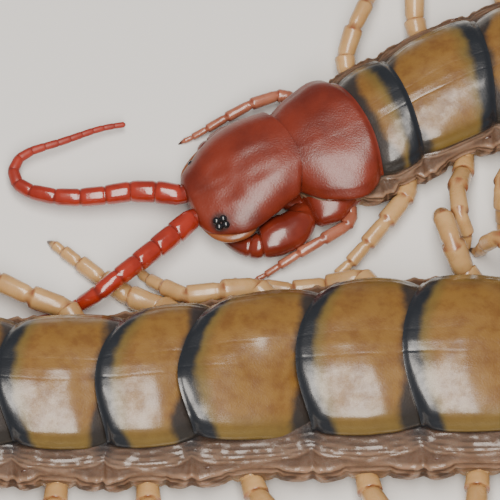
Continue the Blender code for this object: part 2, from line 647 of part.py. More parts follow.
def make_last_leg(side_name, sign):
    """Long leg that trails behind the last segment."""
    number = len(SEGMENT_LENGTHS)
    s = segment_start(number) + SEGMENT_LENGTHS[-1]
    width = between(PLATE_HALF_WIDTHS, number)
    heading = math.degrees(heading_at(s))
    outward = step_direction(heading, 0.0)
    root = place(s, sign * LAST_LEG_SIDE * width, LAST_LEG_HEIGHT) + outward * (GAP + LAST_LEG_SPARE)
    lengths = [share * LAST_LEG_LENGTH for _, share in LAST_LEG_ARTICLES]
    azimuths = [heading - sign * splay for splay in LAST_LEG_SPLAY[side_name]]
    foot = FLOOR + LAST_LEG_RADIUS * LAST_LEG_GIRTH[-1] * LEG_FLAT
    shares = [1.0] * (len(lengths) - 1)
    directions = leg_steps(azimuths[:-1], lengths[:-1], LAST_LEG_SLOPES[:-1], shares, root.z, foot)
    directions.append(step_direction(azimuths[-1], 0.0))
    root_ring = ring_across(root, outward, LAST_LEG_RADIUS, LEG_SIDES)
    rings = leg_rings(root_ring, root, outward, directions, lengths, LAST_LEG_RADIUS, LAST_LEG_GIRTH)
    new_object(f"leg_{number:02d}_{side_name}", *loft(rings), "leg")


def main():
    for obj in list(bpy.data.objects):
        bpy.data.objects.remove(obj)
    make_head()
    make_mouthparts()
    for first, last in TRUNK_LENGTHS:
        trunk_length(first, last)
    for side_name, sign in (("left", 1.0), ("right", -1.0)):
        make_eyes(side_name, sign)
        make_feeler(side_name, sign)
        make_poison_claw(side_name, sign)
        for number in range(1, len(SEGMENT_LENGTHS)):
            make_leg(number, side_name, sign)
        make_last_leg(side_name, sign)


main()
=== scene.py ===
"""Looks of the giant centipede: fine plates, soft flanks, jointed legs and studio light.

Sizes are in millimetres, as the animal's own driving dimensions, and become metres
where each mesh is made.  The body path, widths and heights are those of the frame.
"""
import math

import bpy
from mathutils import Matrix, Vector, noise


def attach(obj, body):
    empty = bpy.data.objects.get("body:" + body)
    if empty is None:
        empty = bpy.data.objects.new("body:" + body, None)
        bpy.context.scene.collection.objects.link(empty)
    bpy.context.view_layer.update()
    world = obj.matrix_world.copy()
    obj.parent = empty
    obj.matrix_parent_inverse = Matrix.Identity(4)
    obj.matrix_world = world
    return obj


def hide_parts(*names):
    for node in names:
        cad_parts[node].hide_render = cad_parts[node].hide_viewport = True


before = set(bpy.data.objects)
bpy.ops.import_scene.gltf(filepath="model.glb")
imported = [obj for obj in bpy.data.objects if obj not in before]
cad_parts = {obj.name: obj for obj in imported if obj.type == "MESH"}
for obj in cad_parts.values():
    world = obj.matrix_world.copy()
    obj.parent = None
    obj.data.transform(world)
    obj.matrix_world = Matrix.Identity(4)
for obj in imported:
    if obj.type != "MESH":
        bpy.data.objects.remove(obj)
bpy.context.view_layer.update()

MM = 0.001
GAP = 0.3
FLOOR = 0.0
PATH_STEP = 0.1

# Camera: long lens, high over the body
PIXEL = 0.0909
FRAME_PIXELS = 500
VIEW_ELEVATION = 63.0
VIEW_CENTRE = (7.96, 0.42, 0.0)
VIEW_DISTANCE = 900.0
SENSOR = 36.0

# Head and body, as in the frame: keys run from the front backwards, in mm or by segment number
HEAD_FRONT = (2.46, 3.62)
HEAD_LENGTH = 9.7
HEAD_HEADING = 24.0
HEAD_HALF_WIDTH = ((0, 2.6), (0.6, 3.5), (1.6, 4.1), (3.0, 4.7), (4.8, 5.2), (6.6, 5.4),
                   (8.4, 5.1), (9.2, 4.6), (9.7, 3.8))
HEAD_TOP = ((0, 3.7), (0.6, 4.0), (1.6, 4.4), (3.0, 4.85), (4.8, 5.3), (6.6, 5.65), (8.4, 5.85), (9.7, 5.8))
HEAD_EDGE = ((0, 2.8), (3.0, 3.2), (6.6, 3.6), (9.7, 4.1))
HEAD_BOTTOM = ((0, 1.6), (6.6, 2.4), (9.7, 2.55))
HEAD_BOW_START = 7.0
# The head is wider to the animal's right: shares of the half width on each side
HEAD_LEFT_SHARE = ((0, 1.0), (3.0, 1.02), (4.8, 0.94), (6.6, 0.82), (8.4, 0.77), (9.7, 0.86))
HEAD_RIGHT_SHARE = ((0, 0.85), (1.6, 0.9), (3.0, 0.97), (4.8, 1.02), (6.6, 1.04), (8.4, 1.08),
                    (9.2, 1.17), (9.7, 1.38))
# Section of the head from the crown out to its edge, as shares, and the tuck under the edge
HEAD_SECTION = ((0.0, 1.0), (0.40, 0.96), (0.72, 0.72), (0.93, 0.32), (1.0, 0.0))
HEAD_LIP = 0.45
HEAD_TUCK = (0.90, 0.55)
HEAD_TUCK_RISE = 0.1
HEAD_ROWS = 56
HEAD_HALF_POINTS = 46
HEAD_CROWDING = 0.045
HEAD_NOSE = 0.35

# Body segments, first to last: length, heading in degrees, half width, height and flanks
SEGMENT_LENGTHS = (7.0, 4.6, 8.2, 7.0, 8.8, 7.2, 9.0, 8.7, 8.1, 10.0, 9.0,
                   9.9, 9.4, 10.2, 7.6, 9.3, 7.2, 8.8, 6.9, 7.8, 6.0)
SEGMENT_HEADINGS = (24, 31, 27, 15, 0, -22, -55, -92, -125, -155, -175,
                    -180, -177, -174, -173, -179, -184, -190, -194, -192, -188)
SEGMENTS = len(SEGMENT_LENGTHS)
PLATE_HALF_WIDTHS = ((1, 5.4), (3, 5.6), (5, 6.3), (8, 7.1), (11, 7.8), (13, 7.85),
                     (14, 7.3), (16, 6.7), (19, 6.0), (21, 4.7))
TRUNK_HEIGHTS = ((1, 5.9), (3, 6.5), (5, 7.1), (8, 7.9), (12, 8.6), (14, 8.3), (17, 7.6), (21, 5.6))
LEFT_FLANK = ((1, 0.94), (10, 0.94), (12, 0.87), (17, 0.87), (21, 0.94))
RIGHT_FLANK = ((1, 1.0), (10, 1.02), (12, 1.13), (17, 1.13), (21, 1.02))
# Slant of the plates across the body and bow of their ends, at the front of a segment
PLATE_SLANT = ((1, 0.0), (2, 0.03), (3, 0.13), (4, 0.16), (5, 0.06), (6, 0.0),
               (12, 0.0), (13, 0.04), (14, 0.15), (15, 0.26), (16, 0.24), (17, 0.02), (18, 0.0))
PLATE_BOW = ((1, 1.0), (2, 0.8), (3, 0.5), (4, 0.6), (5, 0.9), (11, 1.2), (12, 1.6), (14, 2.0), (15, 2.2),
             (16, 2.2), (17, 1.9), (22, 1.4))
# The first plate is rounded: shares of its half width and of its flank's bulge, left and right
FIRST_PLATE = (((0.0, 0.66), (0.14, 0.84), (0.30, 0.97), (0.74, 1.14), (0.92, 1.06), (1.0, 1.0)),
               ((0.0, 1.02), (0.14, 1.05), (0.30, 1.10), (0.74, 1.20), (0.92, 1.16), (1.0, 1.10)))
FIRST_FLANK = (((0.0, 0.94), (0.14, 1.09), (0.30, 1.08), (0.74, 0.985), (0.92, 0.98), (1.0, 1.0)),
               ((0.0, 0.95), (0.14, 0.97), (0.30, 1.0), (0.74, 1.05), (0.92, 1.03), (1.0, 1.0)))

# Back plates: crown over the half width, drop and width share along the segment
PLATE_CROWN = ((0.0, 1.0), (0.32, 0.985), (0.62, 0.925), (0.86, 0.81), (1.0, 0.665))
PLATE_DROP = ((0.0, 0.55), (0.14, 0.34), (0.34, 0.13), (0.62, 0.02), (0.92, 0.0), (1.0, 0.04))
PLATE_SHARE = ((0.0, 0.87), (0.14, 0.93), (0.30, 0.975), (0.62, 1.0), (0.80, 0.99), (0.92, 0.965),
               (1.0, 0.91))
PLATE_THICKNESS = 0.24
PLATE_TUCK = 0.7
PLATE_OVERHANG = 0.28
PLATE_ROWS = 40
PLATE_COLUMNS = 56
# Points stand closer at the ends of a plate, in its grooves and on its rims
ROW_CROWDING = 0.06
GROOVE_POINTS = (-0.03, -0.015, 0.0, 0.015, 0.03)
RIM_POINTS = (0.955, 0.98)
PLATE_EDGE = 0.07
PLATE_WAVES = ((0.09, 3.6), (0.02, 1.3))
TUCK_DIP = 0.22
OVERHANG_DIP = 0.12
OVERHANG_BEND = 0.25
LAST_OVERHANG = 1.1
LAST_TAPER = 0.35
FIRST_RIM = 0.35
# The paired grooves and the raised rims: place as a share of the half width, depth and height in mm
SUTURE = 0.15
SUTURE_DEPTH = 0.02
RIM_GROOVE = 0.93
RIM_DEPTH = 0.05
RIM_HEIGHT = 0.04
# Rise of a plate's right half towards its rear, in degrees
PLATE_PITCH = {14: 10.0, 16: 3.0, 13: -1.0}
PITCH_PIVOT = 0.6
# Extra width in mm of the dark band along the front of the first banded plates
FRONT_BAND = {2: 0.5, 3: -0.6}

# Soft flanks: half section from under the plate to the belly, as shares of width and height
SKIN_SECTION = ((0.0, 0.80), (0.45, 0.76), (0.80, 0.66), (0.92, 0.60), (1.02, 0.565), (1.09, 0.52),
                (1.15, 0.46), (1.17, 0.38), (1.17, 0.28), (1.14, 0.18), (1.06, 0.09),
                (0.90, 0.035), (0.74, 0.02), (0.4, 0.02), (0.0, 0.02))
SKIN_AROUND = 64
SKIN_ALONG = 40
SKIN_BULGE = ((0.0, 0.95), (0.14, 0.98), (0.30, 1.0), (0.74, 1.0), (0.92, 0.98), (1.0, 0.95))
# Lobes of the flank between the legs, and the cleft at each end of a segment
LOBE_SWELL = 0.75
LOBE_CLEFT = 0.12
SKIN_APEX = 0.62
SKIN_DRIFT = 2.2
# Folds under the plates: depths in mm, level of the first, step between them, width and hang
FOLD_DEPTHS = (0.13, 0.2, 0.17, 0.12)
FOLD_TOP = 0.56
FOLD_STEP = 0.055
FOLD_WIDTH = 0.036
FOLD_ARC = 0.03
LEG_SEAM = 0.22
# Fine streaks that fan out under each plate's corner
STREAKS = 10.0
STREAK_DEPTH = 0.06
# Folds on the ledge beside a plate: place as a share of the half width, and height in mm
LEDGE_FOLDS = ((0.95, 0.13), (1.0, 0.18), (1.045, 0.16), (1.085, 0.12))
LEDGE_WIDTH = 0.026
LEDGE_HANG = 0.05
LEDGE_DRIFT = 2.7

# Belly plates
BELLY_ROWS = 16
BELLY_COLUMNS = 18
BELLY_SHARE = 0.74
BELLY_TOP = 0.22
BELLY_EDGE = 0.09
BELLY_CORNER = 0.08
BELLY_GROOVE = 0.05
BELLY_GROOVE_PLACE = 0.36

# Breathing slits: place, size and section from the outer rim into the hole
BREATHING_SEGMENTS = (3, 5, 8, 10, 12, 14, 16, 18, 20)
SLIT_PLACE = 0.84
SLIT_OUT = 1.13
SLIT_LEVEL = 0.475
SLIT_SLANT = 0.35
SLIT_SIZE = (0.62, 0.3)
SLIT_SECTION = ((0.55, -0.2), (1.0, 0.02), (0.95, 0.1), (0.75, 0.13), (0.55, 0.04), (0.3, -0.12))
SLIT_AROUND = 20

# Jaw segment: place along the body, half width and top of its plate
JAW_PLATE = ((7.2, 2.1, 1.9), (8.0, 3.1, 2.0), (9.3, 4.45, 2.05))
JAW_PLATE_END = (9.7, 4.6, 2.1)
JAW_PLATE_REAR = ((10.1, 4.8, 2.9), (10.8, 4.9, 3.3), (12.2, 5.0, 3.5), (13.8, 5.0, 3.5), (16.0, 4.7, 3.4))
JAW_LEFT_SHARE = ((9.3, 1.0), (9.8, 1.2), (10.4, 1.33), (12.2, 1.34), (13.8, 1.2), (16.0, 1.05))
JAW_PLATE_LOW = 0.45
JAW_SECTION = ((0.0, 1.0), (0.35, 1.0), (0.65, 0.98), (0.86, 0.90), (0.95, 0.78), (0.99, 0.64),
               (1.0, 0.50), (0.97, 0.34), (0.90, 0.18), (0.74, 0.0), (0.0, 0.0))

# Poison claws: place along the body, side reach, height, half width and half height
CLAW_ROOT = (0.85, 0.7)
POISON_CLAW = ((9.1, 4.65, 1.6, 1.3, 1.15), (8.4, 5.3, 1.7, 1.5, 1.38), (7.4, 5.7, 1.72, 1.55, 1.45),
               (6.6, 5.7, 1.75, 1.58, 1.45), (5.6, 5.8, 1.7, 1.48, 1.4), (4.85, 5.88, 1.62, 1.36, 1.3),
               (4.5, 5.85, 1.58, 1.14, 1.14), (4.1, 5.75, 1.52, 1.2, 1.12), (3.6, 5.5, 1.45, 1.08, 1.0),
               (3.0, 5.0, 1.35, 0.94, 0.86), (2.45, 4.3, 1.25, 0.76, 0.7), (2.0, 3.4, 1.15, 0.58, 0.54),
               (1.6, 2.5, 1.05, 0.42, 0.4), (1.4, 1.5, 0.95, 0.22, 0.22))
# Shift inward, shift down and share of the size of each poison claw
CLAW_FIT = {"left": (0.0, 0.0, 1.0), "right": (0.75, 0.3, 0.88)}
CLAW_FIT_FROM = 3
CLAW_ROWS = 120
CLAW_AROUND = 28
# Pinched joints of a poison claw: place, depth and width
CLAW_PINCHES = ((1.0, 0.10, 0.35), (7.0, 0.14, 0.3), (9.0, 0.10, 0.3))
CLAW_SWELL = ((1, 1.0), (2, 1.1), (3, 1.18), (5, 1.18), (6, 1.06), (7, 1.0))

# Soft rim of the mouth on each side, and its girth from end to end
MOUTH_RIM = {
    "left": ((0.2, 2.5, 2.5), (0.9, 3.65, 2.55), (1.8, 4.4, 2.6), (3.0, 4.75, 2.75), (4.0, 4.7, 2.85),
             (4.8, 4.4, 2.9)),
    "right": ((0.2, 2.1, 2.5), (0.9, 3.1, 2.55), (1.8, 3.7, 2.6), (3.0, 4.3, 2.7), (4.0, 4.5, 2.8),
              (4.8, 4.5, 2.9)),
}
MOUTH_RIM_GIRTH = ((0.0, 0.12), (0.25, 0.4), (0.5, 0.5), (0.75, 0.44), (1.0, 0.15))
MOUTH_RIM_ROWS = 30
MOUTH_RIM_AROUND = 14
# Mouth pads: place along the body, half width and lower edge
MOUTHPARTS = ((2.6, 1.3, 1.2), (3.2, 2.2, 1.0), (4.4, 2.75, 0.85), (5.8, 2.75, 0.85), (6.8, 1.9, 1.2))

# Four simple eyes on each side of the head: place of the group, then layout and radius of each
EYE_PLACES = {"left": (1.65, 3.3, 3.8, 1.5), "right": (2.1, 3.6, 2.7, 0.1)}
EYE_LEAN = 0.35
EYE_RISE = 0.2
EYE_FLATNESS = 0.75
EYE_ROWS = 13
EYE_AROUND = 28
EYE_LAYOUT = ((-0.32, 0.28, 0.36), (0.33, 0.27, 0.36), (-0.26, -0.30, 0.36), (0.38, -0.31, 0.36))

# Feelers: 18 articles each, heading in degrees and height where each ends
FEELER_ROOT_SIDE = 1.3
FEELER_ROOT_HEIGHT = 2.6
SMOOTH_ARTICLES = 6
FEELER_ARTICLE = (2.3, 1.5, 0.95)
FEELER_RADII = ((0, 1.0), (2, 1.08), (9, 0.86), (13, 0.74), (17, 0.5), (21, 0.36), (30, 0.24))
FEELER_TIP = 0.2
FEELER_AROUND = 20
FEELER_PROFILE = ((0.05, 0.93), (0.12, 0.985), (0.4, 1.0), (0.72, 1.02), (0.9, 1.0), (0.965, 0.95))
FEELER_COLLAR = ((0.9, 0.8), (0.1, 0.86))
FEELER_WAIST = 0.88
FEELER_COURSE = {
    "right": ((170, 2.5), (177, 2.35), (188, 2.2), (184, 2.05), (176, 1.9), (165, 1.75),
              (145, 1.65), (108, 1.6), (66, 1.6), (34, 1.6), (20, 1.6), (19, 1.55),
              (22, 1.5), (24, 1.4), (24, 1.3), (20, 1.2), (15, 1.1), (12, 1.0)),
    "left": ((225, 2.7), (223, 2.85), (223, 3.05), (223, 3.3), (218, 2.9), (195, 1.4),
             (202, 0.74), (200, 0.62), (192, 0.55), (186, 0.5), (184, 0.44), (184, 0.42),
             (183, 0.38), (182, 0.36), (182, 0.34), (182, 0.32), (182, 0.30), (184, 0.28)),
}

# Walking legs: articles from root to claw as shares of the leg's length
LEG_ARTICLES = (0.12, 0.23, 0.22, 0.18, 0.13, 0.07, 0.05)
LEG_LENGTHS = ((1, 11.5), (2, 12.5), (4, 13.5), (8, 14.0), (14, 14.5), (20, 16.5))
LEG_RADII = ((1, 0.62), (2, 0.95), (4, 1.1), (8, 1.18), (14, 1.18), (20, 1.05))
ARTICLE_GIRTH = (1.0, 0.96, 0.84, 0.70, 0.55, 0.42, 0.34)
LEG_FLAT = math.sin(math.pi / 3)

# Slope of each article of a standing leg in degrees, before it is set to meet the floor
LEG_SLOPES = (8, 26, 4, -34, -44, -22, 0)
LEG_SLOPE_SHARE = (0.2, 1.0, 1.0, 0.6, 0.3, 0.1, 0.0)
LEG_LIFTS = {
    ("right", 1): (6, 10, -4, -12, -16, -10, 0),
    ("left", 1): (6, 10, -4, -12, -16, -10, 0),
    ("left", 2): (6, 10, 0, -12, -16, -10, 0),
    ("left", 3): (14, 40, 14, -52, -66, -40, 0),
    ("left", 12): (20, 40, -20, -74, -74, -50, 0),
    ("left", 13): (-14, -16, 2, -6, -10, -6, 0),
    ("left", 14): (0, -2, -16, -24, -30, -16, 0),
    ("left", 15): (-34, -16, 0, 0, 0, 0, 0),
    ("left", 16): (4, 0, -8, -24, -30, -14, 0),
}
CURLED_LEGS = tuple(("left", number) for number in range(4, 12))
CURLED_SLOPES = (24, 46, 22, -54, -72, -60, 0)

# Legs trailing from the last segment
LAST_LEG_LENGTH = 27.0
LAST_LEG_RADIUS = 1.3
LAST_LEG_SIDE = 0.52
LAST_LEG_HEIGHT = 2.2
LAST_LEG_SPARE = 0.7
LAST_LEG_ARTICLES = (0.29, 0.26, 0.19, 0.13, 0.09, 0.04)
LAST_LEG_SPLAY = {"left": (30, 20, 12, 4, -2, -6), "right": (24, 14, 10, 4, 0, -4)}
LAST_LEG_SLOPES = (-2, -4, -6, -4, 0, 0)
LAST_LEG_GIRTH = (1.0, 0.88, 0.76, 0.6, 0.46, 0.34)

# Turn of each leg from straight out, in degrees towards the tail, for coxa to claw
WAVE_SPAN = 7.0
WAVE_TURN = 20.0
OUTER_TURN = 14.0
TURN_SHARES = (0.6, 0.9, 1.0, 1.15, 1.3, 1.4, 1.4)
LEG_TURNS = {
    ("left", 1): (-50, -80, -86, -86, -86, -88, -90),
    ("left", 2): (-55, -66, -70, -75, -82, -86, -88),
    ("left", 3): (-34, -41, -22, 4, -48, -58, -58),
    ("left", 4): (-30, -47, -38, -14, -10, -10, -10),
    ("left", 5): (-34, -66, -52, -28, -14, -14, -14),
    ("left", 6): (-30, -50, -50, -50, -50, -50, -50),
    ("left", 7): (-20, -24, -26, -28, -30, -30, -30),
    ("left", 8): (0, 0, 2, 2, 2, 2, 2),
    ("left", 9): (20, 27, 29, 31, 31, 31, 31),
    ("left", 10): (25, 50, 52, 52, 52, 52, 52),
    ("left", 11): (34, 62, 74, 62, 50, 50, 50),
    ("left", 12): (45, 33, 16, 8, 4, 0, 0),
    ("left", 13): (38, 92, 95, 76, 72, 76, 76),
    ("left", 14): (38, 92, 88, 50, 42, 42, 42),
    ("left", 15): (33, 60, 46, 44, 43, 43, 43),
    ("left", 16): (34, 70, 60, 40, 30, 30, 30),
    ("left", 17): (24, 46, 48, 44, 40, 40, 40),
    ("left", 18): (24, 44, 46, 42, 38, 38, 38),
    ("left", 19): (20, 42, 44, 42, 40, 40, 40),
    ("left", 20): (20, 44, 48, 46, 44, 44, 44),
    ("right", 1): (-60, -88, -92, -92, -90, -90, -90),
    ("right", 2): (25, 50, 55, 50, 45, 45, 45),
    ("right", 3): (15, 27, 27, 27, 27, 27, 27),
    ("right", 4): (0, 8, 8, 10, 10, 10, 10),
    ("right", 12): (4, 2, 0, 4, 6, 6, 6),
    ("right", 13): (-8, -22, -24, -20, -18, -18, -18),
    ("right", 14): (-10, -24, -26, -22, -20, -20, -20),
    ("right", 15): (4, 6, 8, 10, 12, 12, 12),
    ("right", 16): (6, 12, 16, 20, 22, 22, 22),
}

# Where a leg grows from the flank, and the shape of its articles
COXA_TOP = (1.18, 0.44)
COXA_LOW = (1.14, 0.14)
COXA_SPAN = (0.30, 0.74)
LEG_STATION = 0.52
SEAT_SPARE = 0.05
LEG_AROUND = 18
LEG_PROFILE = ((0.10, 0.86), (0.17, 0.93), (0.4, 0.955), (0.68, 1.0), (0.86, 1.03), (0.94, 1.0))
LEG_WAIST = 0.78
LEG_BLEND = 0.3
LEG_BASE = ((1.0, 1.12), (0.35, 1.08))
LEG_CLAW = ((0.15, 1.0), (0.35, 0.85), (0.55, 0.66), (0.75, 0.45), (0.9, 0.28), (1.0, 0.12))
LEG_CLAW_GIRTH = 0.95
LEG_CLAW_SPARE = 0.12
# Search for the slope that sets a foot on the floor
WIDEST_SHIFT = 75.0
SHIFT_HALVINGS = 40

# Light and floor, in millimetres and watts
KEY_PLACE = (15.0, -105.0, 330.0)
KEY_TARGET = (5.0, 0.0, 0.0)
KEY_SIZE = (140.0, 480.0)
KEY_POWER = 2.7
KEY_COLOUR = (1.0, 0.94, 0.87)
STUDIO_COLOUR = (0.9, 0.93, 1.0, 1.0)
STUDIO_STRENGTH = 0.22
FLOOR_REACH = 2000.0
FLOOR_DROP = 0.02
FLOOR_COLOUR = (0.72, 0.71, 0.69, 1.0)

# Colours of the finishes, a lighter and a deeper tone of each
OCHRE, OCHRE_DEEP = (0.195, 0.100, 0.022, 1.0), (0.145, 0.064, 0.014)
OLIVE, PLATE_DARK = (0.115, 0.088, 0.022, 1.0), (0.012, 0.014, 0.018, 1.0)
HEAD_RED = (0.165, 0.022, 0.009), (0.105, 0.012, 0.005)
JAW_RED = (0.16, 0.022, 0.010), (0.11, 0.013, 0.006)
EYE_SHADE = (0.02, 0.006, 0.005)
CLAW_RED, CLAW_TIP = ((0.17, 0.024, 0.011), (0.115, 0.014, 0.007)), (0.02, 0.008, 0.006)
SKIN_TAN = (0.27, 0.165, 0.105), (0.19, 0.112, 0.068)
# Painted shade in the creases of the skin's folds: the darker crease tones
SKIN_CREASE_SHADE = (0.10, 0.055, 0.033), (0.07, 0.038, 0.023)
# The first colour on the next line is painted shade for the skin under the edges of the back plates
SKIN_UNDER_SHADE, SKIN_ROOT, SKIN_CORNER = (0.06, 0.038, 0.028), (0.40, 0.24, 0.115), (0.014, 0.016, 0.02)
LEG_TAN, LEG_TIP = ((0.50, 0.30, 0.125), (0.40, 0.225, 0.085)), (0.05, 0.02, 0.012)
LEG_SPOT = (0.16, 0.025, 0.012)
FIRST_LEG_RED, FIRST_LEG_TIP = ((0.34, 0.12, 0.07), (0.25, 0.075, 0.042)), (0.04, 0.015, 0.01)
FEELER_RED, FEELER_JOINT = ((0.30, 0.026, 0.012), (0.22, 0.018, 0.009)), (0.10, 0.010, 0.006)
BELLY_TAN = (0.36, 0.22, 0.12), (0.26, 0.15, 0.08)
SLIT_BROWN = (0.10, 0.035, 0.02), (0.03, 0.012, 0.01)
MOUTH_BROWN = (0.24, 0.075, 0.02), (0.16, 0.05, 0.018)
EYE_BLACK = (0.008, 0.008, 0.01), (0.004, 0.004, 0.005)


# Small helpers for curves, rings and meshes


def between(keys, x):
    """Value at x on straight lines through (x, value) keys."""
    if x <= keys[0][0]:
        return keys[0][1]
    for (x0, v0), (x1, v1) in zip(keys, keys[1:]):
        if x <= x1:
            return v0 + (v1 - v0) * (x - x0) / (x1 - x0)
    return keys[-1][1]


def flowing(keys, x):
    """Value at x on a smooth curve through the keys that never overshoots them."""
    if x <= keys[0][0]:
        return keys[0][1]
    if x >= keys[-1][0]:
        return keys[-1][1]
    slopes = [(v1 - v0) / (x1 - x0) for (x0, v0), (x1, v1) in zip(keys, keys[1:])]
    for i, ((x0, v0), (x1, v1)) in enumerate(zip(keys, keys[1:])):
        if x <= x1:
            here = slopes[i]
            before = slopes[i - 1] if i > 0 else here
            after = slopes[i + 1] if i + 1 < len(slopes) else here
            start = 0.0 if before * here <= 0 else 2 * before * here / (before + here)
            end = 0.0 if after * here <= 0 else 2 * after * here / (after + here)
            h = x1 - x0
            t = (x - x0) / h
            return (v0 * (1 + 2 * t) * (1 - t) ** 2 + v1 * t * t * (3 - 2 * t)
                    + h * start * t * (1 - t) ** 2 - h * end * t * t * (1 - t))
    return keys[-1][1]


def ease(low, high, x):
    """0 below low, 1 above high, and smooth between them."""
    t = min(max((x - low) / (high - low), 0.0), 1.0)
    return t * t * (3 - 2 * t)


def ridge(x, middle, width):
    """Rounded ridge of height 1 at the middle, gone beyond its width."""
    t = abs(x - middle) / width
    return (1 - t * t) ** 2 if t < 1 else 0.0


def curve_through(points, count):
    """Evenly numbered points on a smooth curve through vectors or tuples."""
    points = [Vector(p) for p in points]
    spans = len(points) - 1
    result = []
    for k in range(count):
        x = k * spans / (count - 1)
        i = min(int(x), spans - 1)
        t = x - i
        p1, p2 = points[i], points[i + 1]
        p0 = points[i - 1] if i > 0 else p1 * 2 - p2
        p3 = points[i + 2] if i + 2 < len(points) else p2 * 2 - p1
        result.append((p1 * 2 + (p2 - p0) * t + (p0 * 2 - p1 * 5 + p2 * 4 - p3) * (t * t)
                       + (p1 * 3 - p0 - p2 * 3 + p3) * (t * t * t)) / 2)
    return result


def build_path():
    """Headings at each station along the body, and the points they lead to."""
    keys = [(0.0, HEAD_HEADING), (0.7 * HEAD_LENGTH, HEAD_HEADING)]
    start = HEAD_LENGTH
    for length, heading in zip(SEGMENT_LENGTHS, SEGMENT_HEADINGS):
        keys.append((start + length / 2, heading))
        start += length
    points = [HEAD_FRONT]
    for index in range(int(start / PATH_STEP) + 1):
        heading = math.radians(between(keys, (index + 0.5) * PATH_STEP))
        x, y = points[-1]
        points.append((x + PATH_STEP * math.cos(heading), y + PATH_STEP * math.sin(heading)))
    return keys, points


PATH_KEYS, PATH_POINTS = build_path()


def heading_at(s):
    """Heading of the body at s, in radians."""
    return math.radians(between(PATH_KEYS, s))


def place(s, lateral, z):
    """Point at s along the body, lateral to the animal's left of it, z above the floor."""
    s -= lateral * between(SLANT_KEYS, s)
    index = min(max(int(s / PATH_STEP), 0), len(PATH_POINTS) - 2)
    rest = s - index * PATH_STEP
    x, y = PATH_POINTS[index]
    heading = heading_at(s)
    x += rest * math.cos(heading) + lateral * math.sin(heading)
    y += rest * math.sin(heading) - lateral * math.cos(heading)
    return Vector((x, y, z))


def segment_start(number):
    """Place along the body where a segment begins."""
    return HEAD_LENGTH + sum(SEGMENT_LENGTHS[:number - 1])


SLANT_KEYS = [(segment_start(number), slant) for number, slant in PLATE_SLANT]
BOW_KEYS = [(segment_start(number), reach) for number, reach in PLATE_BOW]


def flank_share(number, sign):
    """Reach of the flank past the plate at a segment, on the left for 1 and the right for -1."""
    return between(LEFT_FLANK if sign > 0 else RIGHT_FLANK, number)


def bow(s, share, height_share):
    """How far a plate's end reaches back at a share of its half width."""
    return between(BOW_KEYS, s) * max(0.0, 1.0 - share * share) * height_share


def waver(point, size, seed=0.0):
    """Slow unevenness between -1 and 1 at a point."""
    return noise.noise(Vector((point[0] / size + seed, point[1] / size - seed, point[2] / size)))


def new_piece(name, vertices, faces, finish, marks=None, replaces=(), sharp=65.0):
    """Smooth piece in metres that rides on the body, faces outward and marks kept on its points."""
    mesh = bpy.data.meshes.new(name)
    mesh.from_pydata([(v[0] * MM, v[1] * MM, v[2] * MM) for v in vertices], [],
                     outward_faces(vertices, faces))
    mesh.validate()
    mesh.shade_smooth()
    mesh.set_sharp_from_angle(angle=math.radians(sharp))
    for mark, values in (marks or {}).items():
        layer = mesh.attributes.new(mark, "FLOAT", "POINT")
        layer.data.foreach_set("value", values)
    obj = bpy.data.objects.new(name, mesh)
    bpy.context.scene.collection.objects.link(obj)
    obj.data.materials.append(finish)
    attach(obj, "root")
    if replaces:
        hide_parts(*replaces)
    return obj


def grid_faces(rows, columns, closed=False, first=0):
    """Faces of a grid of points, row by row, closed round its columns if asked."""
    faces = []
    for r in range(rows - 1):
        for c in range(columns if closed else columns - 1):
            a = first + r * columns + c
            b = first + r * columns + (c + 1) % columns
            faces.append((a, b, b + columns, a + columns))
    return faces


def tube(rings):
    """Vertices and faces of a skin over rings, each end closed to its own middle."""
    count = len(rings[0])
    vertices = [v for ring in rings for v in ring]
    faces = grid_faces(len(rings), count, closed=True)
    start, end = len(vertices), len(vertices) + 1
    vertices.append(sum(rings[0], Vector()) / count)
    vertices.append(sum(rings[-1], Vector()) / count)
    last = (len(rings) - 1) * count
    for k in range(count):
        faces.append(((k + 1) % count, k, start))
        faces.append((last + k, last + (k + 1) % count, end))
    return vertices, faces


def outward_faces(vertices, faces):
    """The same faces, all turned over if they enclose a negative volume."""
    volume = 0.0
    for face in faces:
        for k in range(1, len(face) - 1):
            a, b, c = vertices[face[0]], vertices[face[k]], vertices[face[k + 1]]
            volume += Vector(a).cross(Vector(b)).dot(Vector(c))
    return faces if volume > 0 else [face[::-1] for face in faces]


def ring_round(centre, side, up, half_width, half_height, count):
    """Oval ring of points round a centre."""
    ring = []
    for k in range(count):
        angle = 2 * math.pi * k / count
        ring.append(centre + side * (half_width * math.cos(angle)) + up * (half_height * math.sin(angle)))
    return ring


def ring_across(centre, direction, radius, count, flatness=1.0):
    """Ring square to a direction, its sides level with the floor."""
    side = direction.cross(Vector((0, 0, 1))).normalized()
    up = side.cross(direction).normalized()
    return ring_round(centre, side, up, radius, radius * flatness, count)


def step_direction(azimuth, slope):
    """Direction of an article from its azimuth and slope in degrees."""
    a, b = math.radians(azimuth), math.radians(slope)
    return Vector((math.cos(a) * math.cos(b), math.sin(a) * math.cos(b), math.sin(b)))


# Trunk: back plates, soft flanks, belly plates and breathing slits


def plate_columns(last_suture):
    """Shares of the half width where a plate has points, closest at its sutures and rims."""
    columns = {round(-1 + 2 * k / PLATE_COLUMNS, 4) for k in range(PLATE_COLUMNS + 1)}
    lines = (RIM_GROOVE, SUTURE) if last_suture else (RIM_GROOVE,)
    for line in lines:
        for step in GROOVE_POINTS:
            columns.add(round(line + step, 4))
            columns.add(round(-line - step, 4))
    columns.update(sign * point for point in RIM_POINTS for sign in (1, -1))
    return sorted(columns)


